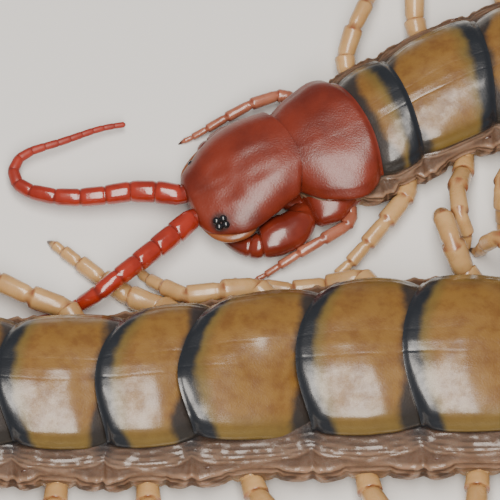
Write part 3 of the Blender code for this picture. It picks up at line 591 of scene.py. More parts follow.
def plate_relief(number, t, across, point):
    """Rise of a plate's surface over its smooth form: sutures, raised rims and slow waves."""
    side = abs(across)
    rim = FIRST_RIM if number == 1 else 1.0
    relief = rim * RIM_HEIGHT * ridge(side, 0.965, 0.07) * ease(0.02, 0.12, t)
    relief -= rim * RIM_DEPTH * ridge(side, RIM_GROOVE, 0.045) * ease(0.05, 0.2, t) * ease(1.02, 0.9, t)
    if number > 1:
        drift = 0.02 * waver((number, t * 3.0, across), 1.0, seed=4.0)
        strength = ease(0.1, 0.45, waver((number * 1.7, t * 2.2, across), 1.0, seed=8.0))
        strength = 0.25 + 0.5 * strength + 0.6 * ease(0.7, 0.95, abs(2 * t - 1))
        relief -= SUTURE_DEPTH * strength * ridge(side, SUTURE + drift, 0.03)
    relief += sum(high * waver(point, size, seed=number) for high, size in PLATE_WAVES)
    return relief


def plate_point(number, along, across, layer):
    """Point of a back plate, along its segment in mm and across it from -1, right, to 1, left."""
    t = along / SEGMENT_LENGTHS[number - 1]
    share = number - 0.5 + min(max(t, 0.0), 1.0)
    width = between(PLATE_HALF_WIDTHS, share) * flowing(PLATE_SHARE, t)
    height = between(TRUNK_HEIGHTS, share)
    if number == 1:
        width *= flowing(FIRST_PLATE[0 if across > 0 else 1], t)
    if number == SEGMENTS:
        width *= 1.0 - LAST_TAPER * ease(0.75, 1.35, t) ** 2
    z = flowing(PLATE_CROWN, abs(across)) * height - flowing(PLATE_DROP, t)
    z -= TUCK_DIP * ease(0.0, -PLATE_TUCK, along)
    z -= OVERHANG_DIP * ease(-OVERHANG_BEND, PLATE_OVERHANG, along - SEGMENT_LENGTHS[number - 1])
    pitch = math.tan(math.radians(PLATE_PITCH.get(number, 0.0)))
    z += pitch * (along - PITCH_PIVOT * SEGMENT_LENGTHS[number - 1]) * ease(0.25, -0.35, across)
    s = segment_start(number) + along
    point = place(s + bow(s, across, z / height), across * width, z)
    if layer == "top":
        point.z += plate_relief(number, t, across, point)
    else:
        point.z -= PLATE_THICKNESS
    return point


def plate_rows(number):
    """Places along a segment where its plate has points, closer at its ends."""
    length = SEGMENT_LENGTHS[number - 1]
    overhang = LAST_OVERHANG if number == SEGMENTS else PLATE_OVERHANG
    rows = []
    for k in range(PLATE_ROWS):
        x = k / (PLATE_ROWS - 1)
        x = x - ROW_CROWDING * math.sin(2 * math.pi * x)
        rows.append(-PLATE_TUCK + x * (length + PLATE_TUCK + overhang))
    return rows


def make_back_plate(number, finish):
    """Shell plate of one segment, its rims rounded and its front tucked under the plate before."""
    columns = plate_columns(number > 1)
    count = 2 * len(columns) + 2
    vertices, front_marks, rear_marks, across_marks = [], [], [], []
    rows = plate_rows(number)
    for along in rows:
        top = [plate_point(number, along, a, "top") for a in columns]
        low = [plate_point(number, along, a, "low") for a in reversed(columns)]
        left = (top[-1] + low[0]) / 2 + (top[-1] - top[-2]).normalized() * PLATE_EDGE
        right = (top[0] + low[-1]) / 2 + (top[0] - top[1]).normalized() * PLATE_EDGE
        vertices += top + [left] + low + [right]
        front_marks += [along - FRONT_BAND.get(number, 0.0)] * count
        rear_marks += [rows[-1] - along] * count
        across_marks += columns + [1.0] + columns[::-1] + [-1.0]
    faces = grid_faces(len(rows), count, closed=True)
    wide = len(columns)
    for first, turn in ((0, 1), ((len(rows) - 1) * count, -1)):
        for k in range(wide - 1):
            low = 2 * wide - k
            faces.append((first + k, first + low, first + low - 1, first + k + 1)[::turn])
        faces.append((first + wide - 1, first + wide + 1, first + wide)[::turn])
        faces.append((first, first + 2 * wide + 1, first + 2 * wide)[::turn])
    marks = {"from_front": front_marks, "to_rear": rear_marks, "across": across_marks}
    return new_piece(f"back_plate_{number:02d}", vertices, faces, finish, marks)


def skin_fold(number, t, level, side):
    """Outward swelling of the flank in mm, with folds and lobes, and a share of 1 on its ridges."""
    wander = waver(((number + t) * SKIN_DRIFT, 0.0, side), 1.0, seed=9.0)
    end = min(t, 1.0 - t)
    arc = FOLD_ARC * (2 * t - 1) ** 2
    folds = 0.0
    for k, depth in enumerate(FOLD_DEPTHS):
        middle = FOLD_TOP - FOLD_STEP * k - arc * (k + 1) + 0.02 * wander
        folds += depth * ridge(level, middle, FOLD_WIDTH)
    swell = LOBE_SWELL * (ease(0.5, 0.9, t) if number == 1 else 1.0)
    if side < 0:
        swell *= ease(3.0, 8.0, number)
    lobe = swell * (0.3 + 0.7 * ease(0.34, 0.06, end)) * ease(0.06, 0.2, level) * ease(0.56, 0.44, level)
    lobe -= LOBE_CLEFT * ridge(end, 0.0, 0.07) * ease(0.2, 0.42, level) * ease(0.6, 0.5, level)
    seam = LEG_SEAM * ridge(end, 0.30 + 0.1 * (0.4 - level), 0.05)
    seam *= ease(0.08, 0.2, level) * ease(0.52, 0.42, level)
    beside = end * SEGMENT_LENGTHS[number - 1]
    below = (SKIN_APEX - level) * between(TRUNK_HEIGHTS, number)
    fan = math.sin(STREAKS * math.atan2(beside, max(below, 0.01)) + 4.0 * wander + 2.0 * side)
    fan *= STREAK_DEPTH * ease(0.3, 1.0, math.hypot(beside, below)) * ease(4.2, 2.6, beside)
    fan *= ease(0.06, 0.2, level) * ease(0.58, 0.5, level)
    # The crest share is 1 on ridges and 0 in creases; the skin's finish paints shade into the creases where
    # it is low
    crest = 0.5 + fan / (2 * STREAK_DEPTH) - 2.0 * seam
    crest = crest + (5.0 * folds - crest) * ease(0.36, 0.46, level)
    return folds + lobe - seam + fan, min(max(crest, 0.0), 1.0)


def ledge_fold(number, t, share, side):
    """Height in mm of the folds that hug the edge of the back plate."""
    wander = waver(((number + t) * LEDGE_DRIFT, 0.0, side), 1.0, seed=4.0)
    hang = LEDGE_HANG * (2 * t - 1) ** 2
    shift = 0.014 * wander - hang
    return sum(high * ridge(share, middle + shift, LEDGE_WIDTH) for middle, high in LEDGE_FOLDS)


def skin_half(number, t, side):
    """Half ring of the soft skin, as (s, lateral, z, marks) from the back's middle down."""
    share = number - 0.5 + t
    width = between(PLATE_HALF_WIDTHS, share)
    height = between(TRUNK_HEIGHTS, share)
    drop = max(flowing(PLATE_DROP, t), PLATE_DROP[0][1] * ease(0.7, 1.0, t))
    bulge = flowing(SKIN_BULGE, t) * flank_share(number, side)
    if number == 1:
        bulge *= flowing(FIRST_FLANK[0 if side > 0 else 1], t) * (1.0 - 0.12 * ease(0.8, 0.5, t))
    s = segment_start(number) + t * SEGMENT_LENGTHS[number - 1]
    end = min(t, 1.0 - t) * SEGMENT_LENGTHS[number - 1]
    half = []
    for a, b, _ in curve_through([(a, b, 0.0) for a, b in SKIN_SECTION], SKIN_AROUND):
        out = ease(0.78, 1.0, a) * ease(0.7, 0.55, b)
        lateral = a * width * (1 + out * (bulge - 1))
        z = max(b * height - drop * ease(0.5, 0.7, b), 0.02)
        swelling, crest = skin_fold(number, t, b, side)
        lateral += out * swelling
        ledge = ledge_fold(number, t, a, side) * ease(0.48, 0.54, b)
        z += ledge
        crest += (6.0 * ledge - crest) * ease(0.46, 0.54, b)
        if number == 1:
            lateral *= min(1.0, flowing(FIRST_PLATE[0 if side > 0 else 1], t) + 0.02)
        leg_root = ridge(t, 0.52, 0.3) * ridge(b, 0.22, 0.24)
        corner = ridge(end, 0.0, 1.5) * ridge(b, 0.62, 0.08)
        half.append((s + bow(s, a / 1.2, z / height), lateral, z, (leg_root, b, corner, crest)))
    return half


def make_soft_skin(finish, hidden):
    """One skin of flanks and belly from the jaw segment to the tail, under all the back plates."""
    rings, marks = [], []
    for number in range(1, SEGMENTS + 1):
        last = SKIN_ALONG if number < SEGMENTS else SKIN_ALONG + 1
        for k in range(last):
            t = k / SKIN_ALONG
            left = skin_half(number, t, 1.0)
            right = skin_half(number, t, -1.0)[-2:0:-1]
            rings.append([place(s, x, z) for s, x, z, _ in left])
            rings[-1] += [place(s, -x, z) for s, x, z, _ in right]
            marks += [mark for _, _, _, mark in left + right]
    marks += [(0.0, 0.4, 0.0, 0.5)] * 2
    names = ("leg_root", "level", "corner", "crest")
    named = {name: [mark[k] for mark in marks] for k, name in enumerate(names)}
    return new_piece("soft_skin", *tube(rings), finish, named, hidden, sharp=180.0)


def make_belly_plate(number, finish):
    """Flat plate under one segment, its lower face on the floor."""
    length = SEGMENT_LENGTHS[number - 1]
    rows, columns = BELLY_ROWS, BELLY_COLUMNS
    layers = []
    for lower in (True, False):
        for r in range(rows):
            t = 0.03 + 0.94 * r / (rows - 1)
            width = BELLY_SHARE * between(PLATE_HALF_WIDTHS, number - 0.5 + t)
            for c in range(columns):
                a = -1 + 2 * c / (columns - 1)
                corner = (2 * t - 1) ** 8 * BELLY_CORNER
                edge = max(abs(a), abs(2 * t - 1)) ** 6
                groove = BELLY_GROOVE * ridge(abs(a), BELLY_GROOVE_PLACE, 0.12)
                groove *= ease(0.9, 0.4, abs(2 * t - 1))
                z = BELLY_EDGE * edge + groove if lower else BELLY_TOP
                s = segment_start(number) + t * length
                layers.append(place(s + bow(s, a, 0.05), a * width * (1 - corner), z))
    faces = [face[::-1] for face in grid_faces(rows, columns)]
    faces += grid_faces(rows, columns, first=rows * columns)
    rim = list(range(columns)) + [r * columns + columns - 1 for r in range(1, rows)]
    rim += [(rows - 1) * columns + c for c in range(columns - 2, -1, -1)]
    rim += [r * columns for r in range(rows - 2, 0, -1)]
    shift = rows * columns
    for a, b in zip(rim, rim[1:] + rim[:1]):
        faces.append((a, b, b + shift, a + shift))
    return new_piece(f"belly_plate_{number:02d}", layers, faces, finish)


def make_breathing_slit(number, sign, finish):
    """Slanted oval rim round a breathing hole in the flank."""
    flank = flank_share(number, sign)
    t = SLIT_PLACE
    share = number - 0.5 + t
    width, height = between(PLATE_HALF_WIDTHS, share), between(TRUNK_HEIGHTS, share)
    s = segment_start(number) + t * SEGMENT_LENGTHS[number - 1]
    s += bow(s, 0.95, 0.5)
    centre = place(s, sign * width * SLIT_OUT * flank * flowing(SKIN_BULGE, t), SLIT_LEVEL * height)
    outward = (place(s, sign * 10.0, 5.0) - place(s, 0.0, 0.0)).normalized()
    along = place(s + 1.0, sign * 9.0, 0.0) - place(s, sign * 9.0, 0.0)
    along = (along + Vector((0, 0, SLIT_SLANT))).normalized()
    up = outward.cross(along).normalized() * sign
    rings = []
    for reach, rise in SLIT_SECTION:
        length, width = (reach * size for size in SLIT_SIZE)
        rings.append(ring_round(centre + outward * rise, along, up, length, width, SLIT_AROUND))
    side_name = "left" if sign > 0 else "right"
    name = f"breathing_slit_{number:02d}_{side_name}"
    return new_piece(name, *tube(rings), finish)


# Head, jaw segment, poison claws, mouth and eyes


def head_half(s, bow_share):
    """Half section of the head at s, crown first."""
    width = flowing(HEAD_HALF_WIDTH, s)
    top, edge, bottom = flowing(HEAD_TOP, s), flowing(HEAD_EDGE, s), flowing(HEAD_BOTTOM, s)
    half = []
    for a, b in HEAD_SECTION:
        z = edge + b * (top - edge)
        half.append((s + bow_share * bow(s, a, z / top), a * width, z))
    z = edge - HEAD_LIP
    half.append((s + bow_share * bow(s, HEAD_TUCK[0], z / top), HEAD_TUCK[0] * width, z))
    z = bottom + HEAD_TUCK_RISE
    half.append((s + bow_share * bow(s, HEAD_TUCK[1], z / top), HEAD_TUCK[1] * width, z))
    half.append((s + bow_share * bow(s, 0.0, bottom / top), 0.0, bottom))
    return half


def head_relief(s, across, point):
    """Rise of the head's surface: a faint middle groove in front and hollows beside it."""
    relief = 0.05 * waver(point, 2.8, seed=2.0) + 0.015 * waver(point, 0.9, seed=5.0)
    relief -= 0.05 * ridge(across, 0.0, 0.05) * ease(4.6, 2.2, s) * ease(0.0, 0.6, s)
    relief -= 0.10 * ridge(abs(across), 0.3, 0.2) * ridge(s, 3.4, 1.5)
    relief -= 0.06 * ridge(abs(across), 0.2, 0.16) * ridge(s, 6.6, 2.4)
    return relief


def make_head(finish):
    """Domed head plate with its tucked sides, one body out to the rim of the first segment."""
    rings, eyes = [], []
    clusters = [place(s, sign * x, z) for (s, x, z, _), sign in zip(EYE_PLACES.values(), (1, -1))]
    for r in range(HEAD_ROWS):
        x = r / (HEAD_ROWS - 1)
        s = HEAD_LENGTH * (x - HEAD_CROWDING * math.sin(2 * math.pi * x))
        share = max(0.0, (s - HEAD_BOW_START) / (HEAD_LENGTH - HEAD_BOW_START))
        half = curve_through(head_half(s, share), HEAD_HALF_POINTS)
        width = max(flowing(HEAD_HALF_WIDTH, s), 0.1)
        left, right = [], []
        for k, (t, lateral, z) in enumerate(half):
            round_front = math.sqrt(max(0.0, 1 - (1 - min(s / HEAD_NOSE, 1.0)) ** 2))
            middle = (flowing(HEAD_TOP, s) + flowing(HEAD_BOTTOM, s)) / 2
            height = middle + (z - middle) * (0.62 + 0.38 * round_front)
            reach = lateral * (0.9 + 0.1 * round_front)
            for sign, side in ((flowing(HEAD_LEFT_SHARE, s), left), (-flowing(HEAD_RIGHT_SHARE, s), right)):
                point = place(t, sign * reach, height)
                if z > flowing(HEAD_EDGE, s):
                    point.z += head_relief(s, sign * lateral / width, point)
                side.append(point)
        rings.append(left + right[-2:0:-1])
        eyes += [ease(1.25, 0.6, min((point - eye).length for eye in clusters)) for point in rings[-1]]
    return new_piece("head_shell", *tube(rings), finish, {"eye_spot": eyes + [0.0, 0.0]}, ["head"])


def jaw_plate_ring(s, half_width, top):
    """Ring of the low plate under the head that carries the poison claws."""
    half = []
    for a, b in JAW_SECTION:
        z = JAW_PLATE_LOW + b * (top - JAW_PLATE_LOW)
        half.append((s, a * half_width, z))
    half = curve_through(half, 30)
    ring = [place(s, x * flowing(JAW_LEFT_SHARE, s), z) for s, x, z in half]
    return ring + [place(s, -x, z) for s, x, z in half[-2:0:-1]]


def make_jaw_plate(finish):
    """Broad plate under the head and first segment that the poison claws swing from."""
    keys = JAW_PLATE + (JAW_PLATE_END, *JAW_PLATE_REAR)
    rings = []
    for s, half_width, top in curve_through(keys, 44):
        rings.append(jaw_plate_ring(s, half_width, top))
    return new_piece("jaw_plate", *tube(rings), finish)


def make_poison_claw(side_name, sign, finish):
    """Barrel-shaped upper part, two short rings and the curved black-tipped claw."""
    (s0, w0, t0), (s1, w1, t1) = JAW_PLATE[1], JAW_PLATE[2]
    face = (place(s1, sign * w1, 0.0) - place(s0, sign * w0, 0.0)).normalized()
    outward = Vector((0, 0, 1)).cross(face) * -sign
    up = Vector((0, 0, 1))
    seat = place((s0 + s1) / 2, sign * (w0 + w1) / 2, (JAW_PLATE_LOW + (t0 + t1) / 2) / 2)
    keys = [(seat - outward * 0.5, *CLAW_ROOT)]
    inward, down, size = CLAW_FIT[side_name]
    for index, (s, lateral, z, a, b) in enumerate(POISON_CLAW, start=1):
        share = min(index / CLAW_FIT_FROM, 1.0)
        keys.append((place(s, sign * (lateral - inward * share), z - down * share),
                     a * size * between(CLAW_SWELL, index), b * size))
    count = CLAW_ROWS
    centres = curve_through([k[0] for k in keys], count)
    sizes = curve_through([(k[1], k[2], 0.0) for k in keys], count)
    rings, reach = [], []
    for index in range(count):
        x = index / (count - 1) * (len(keys) - 1)
        after = centres[min(index + 1, count - 1)]
        run = after - centres[max(index - 1, 0)]
        run.z = 0.0
        side = up.cross(run.normalized()) * -1.0
        pinch = 1.0 - sum(depth * ridge(x, middle, width) for middle, depth, width in CLAW_PINCHES)
        if index == count - 1:
            pinch *= 0.25
        width, height = sizes[index][0] * pinch, sizes[index][1] * pinch
        rings.append(ring_round(centres[index], side, up, width, height, CLAW_AROUND))
        reach += [x / (len(keys) - 1)] * CLAW_AROUND
    marks = {"reach": reach + [0.0, 1.0]}
    return new_piece(f"poison_claw_{side_name}", *tube(rings), finish, marks, ["forcipule_" + side_name])


def make_mouthparts(finish):
    """Soft pads of the second jaws between the poison claws."""
    rings = []
    for s, half_width, low in curve_through(MOUTHPARTS, 26):
        top = between(HEAD_BOTTOM, s) - GAP
        centre = place(s, 0.0, (top + low) / 2)
        side = place(s, 1.0, 0.0) - place(s, 0.0, 0.0)
        rings.append(ring_round(centre, side, Vector((0, 0, 1)), half_width, (top - low) / 2, 36))
    return new_piece("mouth_pads", *tube(rings), finish, replaces=["mouthparts"])


def make_mouth_rim(sign, side_name, finish):
    """Yellow-brown soft edge of the mouth under each cluster of eyes."""
    last = MOUTH_RIM_ROWS - 1
    course = curve_through(MOUTH_RIM[side_name], MOUTH_RIM_ROWS)
    points = [place(s, sign * x, z) for s, x, z in course]
    rings = []
    for k, point in enumerate(points):
        run = (points[min(k + 1, last)] - points[max(k - 1, 0)]).normalized()
        girth = flowing(MOUTH_RIM_GIRTH, k / last)
        rings.append(ring_across(point, run, girth, MOUTH_RIM_AROUND, 0.8))
    return new_piece(f"mouth_rim_{side_name}", *tube(rings), finish)


def make_eyes(side_name, sign, finish):
    """Four glossy simple eyes, each a flattened ball set into the head."""
    s, lateral, z, rise = EYE_PLACES[side_name]
    lower = place(s, sign * lateral, z)
    normal = (place(s - EYE_LEAN, sign * (lateral + 1.0), z + rise) - lower).normalized()
    along = place(s + 1.0, sign * lateral, z) - lower
    along = (along - normal * along.dot(normal)).normalized()
    across = normal.cross(along)
    vertices, faces = [], []
    for u, v, radius in EYE_LAYOUT:
        centre = lower + normal * EYE_RISE + along * u + across * v
        rings = []
        for level in range(EYE_ROWS):
            tilt = math.pi * (level + 0.5) / EYE_ROWS
            middle = centre + normal * (EYE_FLATNESS * radius * math.cos(tilt))
            reach = radius * math.sin(tilt)
            rings.append(ring_round(middle, along, across, reach, reach, EYE_AROUND))
        some, skin = tube(rings)
        faces += [tuple(k + len(vertices) for k in face) for face in skin]
        vertices += some
    return new_piece(f"simple_eyes_{side_name}", vertices, faces, finish, replaces=["ocelli_" + side_name])


# Feelers and legs


def jointed_tube(points, radii, directions, profile, around, flatness=1.0, waist=0.8):
    """Rings of a chain of articles, each shaped by the profile and necked where it meets the next.

    Gives the rings and, for each ring, the article it is on and the share along it.
    """
    rings, stations = [], []
    for index, direction in enumerate(directions):
        start, end = points[index], points[index + 1]
        for share, size in profile:
            radius = radii(index, share) * size
            rings.append(ring_across(start.lerp(end, share), direction, radius, around, flatness))
            stations.append((index, share))
        if index + 1 < len(directions):
            mitre = (direction + directions[index + 1]).normalized()
            neck = min(radii(index, 1.0), radii(index + 1, 0.0)) * waist
            rings.append(ring_across(end, mitre, neck, around, flatness))
            stations.append((index, 1.0))
    return rings, stations


def feeler_points(side_name, sign):
    """Joints of a feeler from its root to its tip, and the run along it to each."""
    point = place(-GAP, sign * FEELER_ROOT_SIDE, FEELER_ROOT_HEIGHT)
    points, runs = [point], [0.0]
    first, longest, shortest = FEELER_ARTICLE
    course = FEELER_COURSE[side_name]
    for index, (azimuth, height) in enumerate(course):
        length = first
        if index >= SMOOTH_ARTICLES:
            share = (index - SMOOTH_ARTICLES) / (len(course) - SMOOTH_ARTICLES - 1)
            length = longest + (shortest - longest) * share
        slope = math.degrees(math.asin(max(-0.8, min(0.8, (height - point.z) / length))))
        point = point + step_direction(azimuth, slope) * length
        points.append(point)
        runs.append(runs[-1] + length)
    return points, runs


def make_feeler(side_name, sign, finish):
    """Feeler of 18 articles, each a little barrel with a thin dark joint."""
    points, runs = feeler_points(side_name, sign)
    directions = [(b - a).normalized() for a, b in zip(points, points[1:])]

    def radius(index, share):
        return between(FEELER_RADII, runs[index] + (runs[index + 1] - runs[index]) * share)

    rings, stations = jointed_tube(points, radius, directions, FEELER_PROFILE, FEELER_AROUND,
                                   waist=FEELER_WAIST)
    forward = (place(-1.0, 0.0, 0.0) - place(0.0, 0.0, 0.0)).normalized()
    root = points[0]
    collar = [ring_across(root - forward * back, forward, radius(0, 0.0) * size, FEELER_AROUND)
              for back, size in FEELER_COLLAR]
    tip = points[-1] + directions[-1] * 0.1
    end = [ring_across(points[-1], directions[-1], FEELER_TIP, FEELER_AROUND),
           ring_across(tip, directions[-1], FEELER_TIP * 0.5, FEELER_AROUND)]
    rings = collar + rings + end
    joints = [1.0 if share == 1.0 else ridge(share, 1.0, 0.06) for _, share in stations]
    joints = [0.6, 0.9] + joints + [0.0, 0.0]
    total = len(directions)
    reach = [0.0, 0.0] + [(index + share) / total for index, share in stations] + [1.0, 1.0]
    marks = {"joint": [v for v in joints for _ in range(FEELER_AROUND)] + [0.0, 0.0],
             "reach": [v for v in reach for _ in range(FEELER_AROUND)] + [0.0, 1.0]}
    return new_piece(f"feeler_{side_name}", *tube(rings), finish, marks, ["antenna_" + side_name])


def flank_corner(number, sign, t, corner):
    """Corner of the flank face that a leg grows from."""
    flank = flank_share(number, sign)
    if number == 1:
        flank *= between(FIRST_FLANK[0 if sign > 0 else 1], t)
    share = number - 0.5 + t
    a, b = corner
    s = segment_start(number) + t * SEGMENT_LENGTHS[number - 1]
    return place(s, sign * a * flank * between(PLATE_HALF_WIDTHS, share), b * between(TRUNK_HEIGHTS, share))


def coxa_seat(number, sign):
    """Middle, outward direction and body heading of the flank face that a leg grows from."""
    front = [flank_corner(number, sign, COXA_SPAN[0], corner) for corner in (COXA_TOP, COXA_LOW)]
    rear = [flank_corner(number, sign, COXA_SPAN[1], corner) for corner in (COXA_TOP, COXA_LOW)]
    middle = (front[0] + front[1] + rear[0] + rear[1]) / 4
    along = (rear[0] + rear[1] - front[0] - front[1]).normalized()
    down = (front[1] + rear[1] - front[0] - rear[0]).normalized()
    outward = along.cross(down).normalized()
    s = segment_start(number) + LEG_STATION * SEGMENT_LENGTHS[number - 1]
    if outward.dot(place(s, sign * 10.0, 0.0) - place(s, 0.0, 0.0)) < 0:
        outward.negate()
    return middle, outward, heading_at(s)


def leg_turns(number, sign):
    """Turn of each article towards the tail: a wave along the body unless the leg has its own."""
    side_name = "left" if sign > 0 else "right"
    if (side_name, number) in LEG_TURNS:
        return LEG_TURNS[(side_name, number)]
    phase = 2 * math.pi * number / WAVE_SPAN + (0.0 if sign > 0 else math.pi * 0.6)
    turn = OUTER_TURN + WAVE_TURN * math.sin(phase)
    return tuple(turn * share for share in TURN_SHARES)


def leg_steps(azimuths, lengths, slopes, shares, start_height, foot_height):
    """Directions of the articles, their slopes shifted so that the foot meets the floor."""
    low, high = -WIDEST_SHIFT, WIDEST_SHIFT
    for _ in range(SHIFT_HALVINGS):
        shift = (low + high) / 2
        rise = sum(n * math.sin(math.radians(a + shift * b)) for n, a, b in zip(lengths, slopes, shares))
        if start_height + rise > foot_height:
            high = shift
        else:
            low = shift
    return [step_direction(azimuth, slope + shift * share)
            for azimuth, slope, share in zip(azimuths, slopes, shares)]


def leg_marks(stations, around, total):
    """Marks on a leg's points: dark spots at each joint, and the reach from root to tip."""
    joints, reach = [], []
    for index, share in stations:
        at_end = max(ridge(share, 0.95, 0.07), 0.55 if share == 1.0 else 0.0)
        for k in range(around):
            angle = 2 * math.pi * k / around
            spot = max(ridge(math.cos(angle), 1.0, 0.35), ridge(math.cos(angle), -1.0, 0.35),
                       ridge(math.sin(angle), 1.0, 0.12))
            joints.append(min(1.0, at_end * (0.25 + 0.75 * spot)))
            reach.append((index + share) / total)
    return joints, reach


def make_claw_tip(point, direction, length, radius):
    """Rings of a hooked claw whose tip comes down to the floor."""
    rings = []
    for share, size in LEG_CLAW:
        here = radius * size
        middle = point + direction * (length * share)
        middle.z = max(point.z + (0.3 * share - 1.2 * share * share) * radius, FLOOR + here)
        rings.append(ring_across(middle, direction, here, LEG_AROUND))
    return rings


def make_jointed_leg(name, node, root, outward, steps, lengths, radius, girth, finish):
    """Leg of tapered articles with swollen ends, from inside the flank out to a hooked claw."""
    points = [root]
    for step, length in zip(steps, lengths):
        points.append(points[-1] + step * length)
    last = len(lengths) - 1

    def thickness(index, share):
        following = girth[min(index + 1, last)]
        return radius * (girth[index] * (1 - LEG_BLEND * share) + following * LEG_BLEND * share)

    rings, stations = jointed_tube(points[:-1], thickness, steps[:-1], LEG_PROFILE, LEG_AROUND,
                                   waist=LEG_WAIST)
    base = [ring_across(root - outward * back, outward, radius * size, LEG_AROUND) for back, size in LEG_BASE]
    claw = make_claw_tip(points[-2], steps[-1], lengths[-1] + radius * LEG_CLAW_SPARE,
                         radius * girth[-1] * LEG_CLAW_GIRTH)
    for ring in rings:
        lowest = min(v.z for v in ring)
        if lowest < FLOOR:
            for v in ring:
                v.z -= lowest - FLOOR
    joints, reach = leg_marks(stations, LEG_AROUND, last)
    joints = [0.0] * (2 * LEG_AROUND) + joints + [0.0] * (len(claw) * LEG_AROUND + 2)
    tips = [1.0 + 0.2 * k / (len(claw) - 1) for k in range(len(claw)) for _ in range(LEG_AROUND)]
    reach = [0.0] * (2 * LEG_AROUND) + reach + tips + [0.0, 1.2]
    marks = {"joint": joints, "reach": reach}
    return new_piece(name, *tube(base + rings + claw), finish, marks, [node])


def make_leg(number, side_name, sign, finish):
    """Walking leg of one segment and side, its foot on the floor."""
    length = between(LEG_LENGTHS, number)
    radius = between(LEG_RADII, number)
    middle, outward, heading = coxa_seat(number, sign)
    root = middle + outward * (GAP + SEAT_SPARE)
    lengths = [share * length for share in LEG_ARTICLES]
    azimuths = [math.degrees(heading) + sign * (turn - 90.0) for turn in leg_turns(number, sign)]
    foot = FLOOR + radius * ARTICLE_GIRTH[-1] * LEG_FLAT
    standing = CURLED_SLOPES if (side_name, number) in CURLED_LEGS else LEG_SLOPES
    lift = LEG_LIFTS.get((side_name, number), standing)
    steps = leg_steps(azimuths[:-1], lengths[:-1], lift[:-1], LEG_SLOPE_SHARE[:-1], root.z, foot)
    steps.append(step_direction(azimuths[-1], 0.0))
    node = f"leg_{number:02d}_{side_name}"
    return make_jointed_leg(f"walking_{node}", node, root, outward, steps, lengths, radius,
                            ARTICLE_GIRTH, finish)


def make_last_leg(side_name, sign, finish):
    """Long leg that trails behind the last segment."""
    s = segment_start(SEGMENTS) + SEGMENT_LENGTHS[-1]
    width = between(PLATE_HALF_WIDTHS, SEGMENTS)
    heading = math.degrees(heading_at(s))
    outward = step_direction(heading, 0.0)
    root = place(s, sign * LAST_LEG_SIDE * width, LAST_LEG_HEIGHT) + outward * (GAP + LAST_LEG_SPARE)
    lengths = [share * LAST_LEG_LENGTH for share in LAST_LEG_ARTICLES]
    azimuths = [heading - sign * splay for splay in LAST_LEG_SPLAY[side_name]]
    foot = FLOOR + LAST_LEG_RADIUS * LAST_LEG_GIRTH[-1] * LEG_FLAT
    shares = [1.0] * (len(lengths) - 1)
    steps = leg_steps(azimuths[:-1], lengths[:-1], LAST_LEG_SLOPES[:-1], shares, root.z, foot)
    steps.append(step_direction(azimuths[-1], 0.0))
    node = f"leg_{SEGMENTS:02d}_{side_name}"
    return make_jointed_leg(f"trailing_{node}", node, root, outward, steps, lengths, LAST_LEG_RADIUS,
                            LAST_LEG_GIRTH, finish)


# Finishes


def add_node(tree, kind, inputs=None, **settings):
    """Node with its settings, its inputs linked or set by name."""
    made = tree.nodes.new(kind)
    for name, value in settings.items():
        setattr(made, name, value)
    for name, value in (inputs or {}).items():
        if isinstance(value, bpy.types.NodeSocket):
            tree.links.new(value, made.inputs[name])
        else:
            made.inputs[name].default_value = value
    return made


def math_of(tree, operation, first, second=0.0):
    """Result of one sum on one or two values or sockets."""
    made = tree.nodes.new("ShaderNodeMath")
    made.operation = operation
    for socket, value in zip(made.inputs, (first, second)):
        if isinstance(value, bpy.types.NodeSocket):
            tree.links.new(value, socket)
        else:
            socket.default_value = value
    return made.outputs[0]


def mixed(tree, factor, first, second):
    """Colour between two colours by a factor."""
    made = tree.nodes.new("ShaderNodeMix")
    made.data_type = "RGBA"
    for index, value in ((0, factor), (6, first), (7, second)):
        if isinstance(value, bpy.types.NodeSocket):
            tree.links.new(value, made.inputs[index])
        elif index == 0:
            made.inputs[index].default_value = value
        else:
            made.inputs[index].default_value = (*value, 1.0)
    return made.outputs[2]


def stepped(tree, value, low, high, start=0.0, end=1.0):
    """Smooth step of a value from start at low to end at high."""
    made = add_node(tree, "ShaderNodeMapRange", {"Value": value, "From Min": low, "From Max": high,
                                                 "To Min": start, "To Max": end},
                    interpolation_type="SMOOTHSTEP")
    return made.outputs["Result"]


def speckle(tree, scale, detail=3.0, roughness=0.55, stretch=None):
    """Noise value over the object's own space, scale in features per metre."""
    space = add_node(tree, "ShaderNodeTexCoord").outputs["Object"]
    if stretch:
        space = add_node(tree, "ShaderNodeMapping", {"Vector": space, "Scale": stretch}).outputs[0]
    made = add_node(tree, "ShaderNodeTexNoise", {"Vector": space, "Scale": scale, "Detail": detail,
                                                 "Roughness": roughness})
    return made.outputs["Fac"]


def patches(tree, scale, detail=4.0, roughness=0.55):
    """Soft-edged patches between 0 and 1, scale in features per metre."""
    return stepped(tree, speckle(tree, scale, detail, roughness), 0.35, 0.7)


def mark_of(tree, name):
    """Value kept on the points of a piece under this name."""
    return add_node(tree, "ShaderNodeAttribute", attribute_name=name).outputs["Fac"]


def new_group(name, inputs, outputs):
    """Empty node group with named float, colour or vector sockets."""
    group = bpy.data.node_groups.new(name, "ShaderNodeTree")
    kinds = {"value": "NodeSocketFloat", "colour": "NodeSocketColor", "normal": "NodeSocketVector"}
    for label, kind, default in inputs:
        socket = group.interface.new_socket(name=label, in_out="INPUT", socket_type=kinds[kind])
        socket.default_value = default
    for label, kind in outputs:
        group.interface.new_socket(name=label, in_out="OUTPUT", socket_type=kinds[kind])
    entry = group.nodes.new("NodeGroupInput")
    leave = group.nodes.new("NodeGroupOutput")
    return group, entry, leave


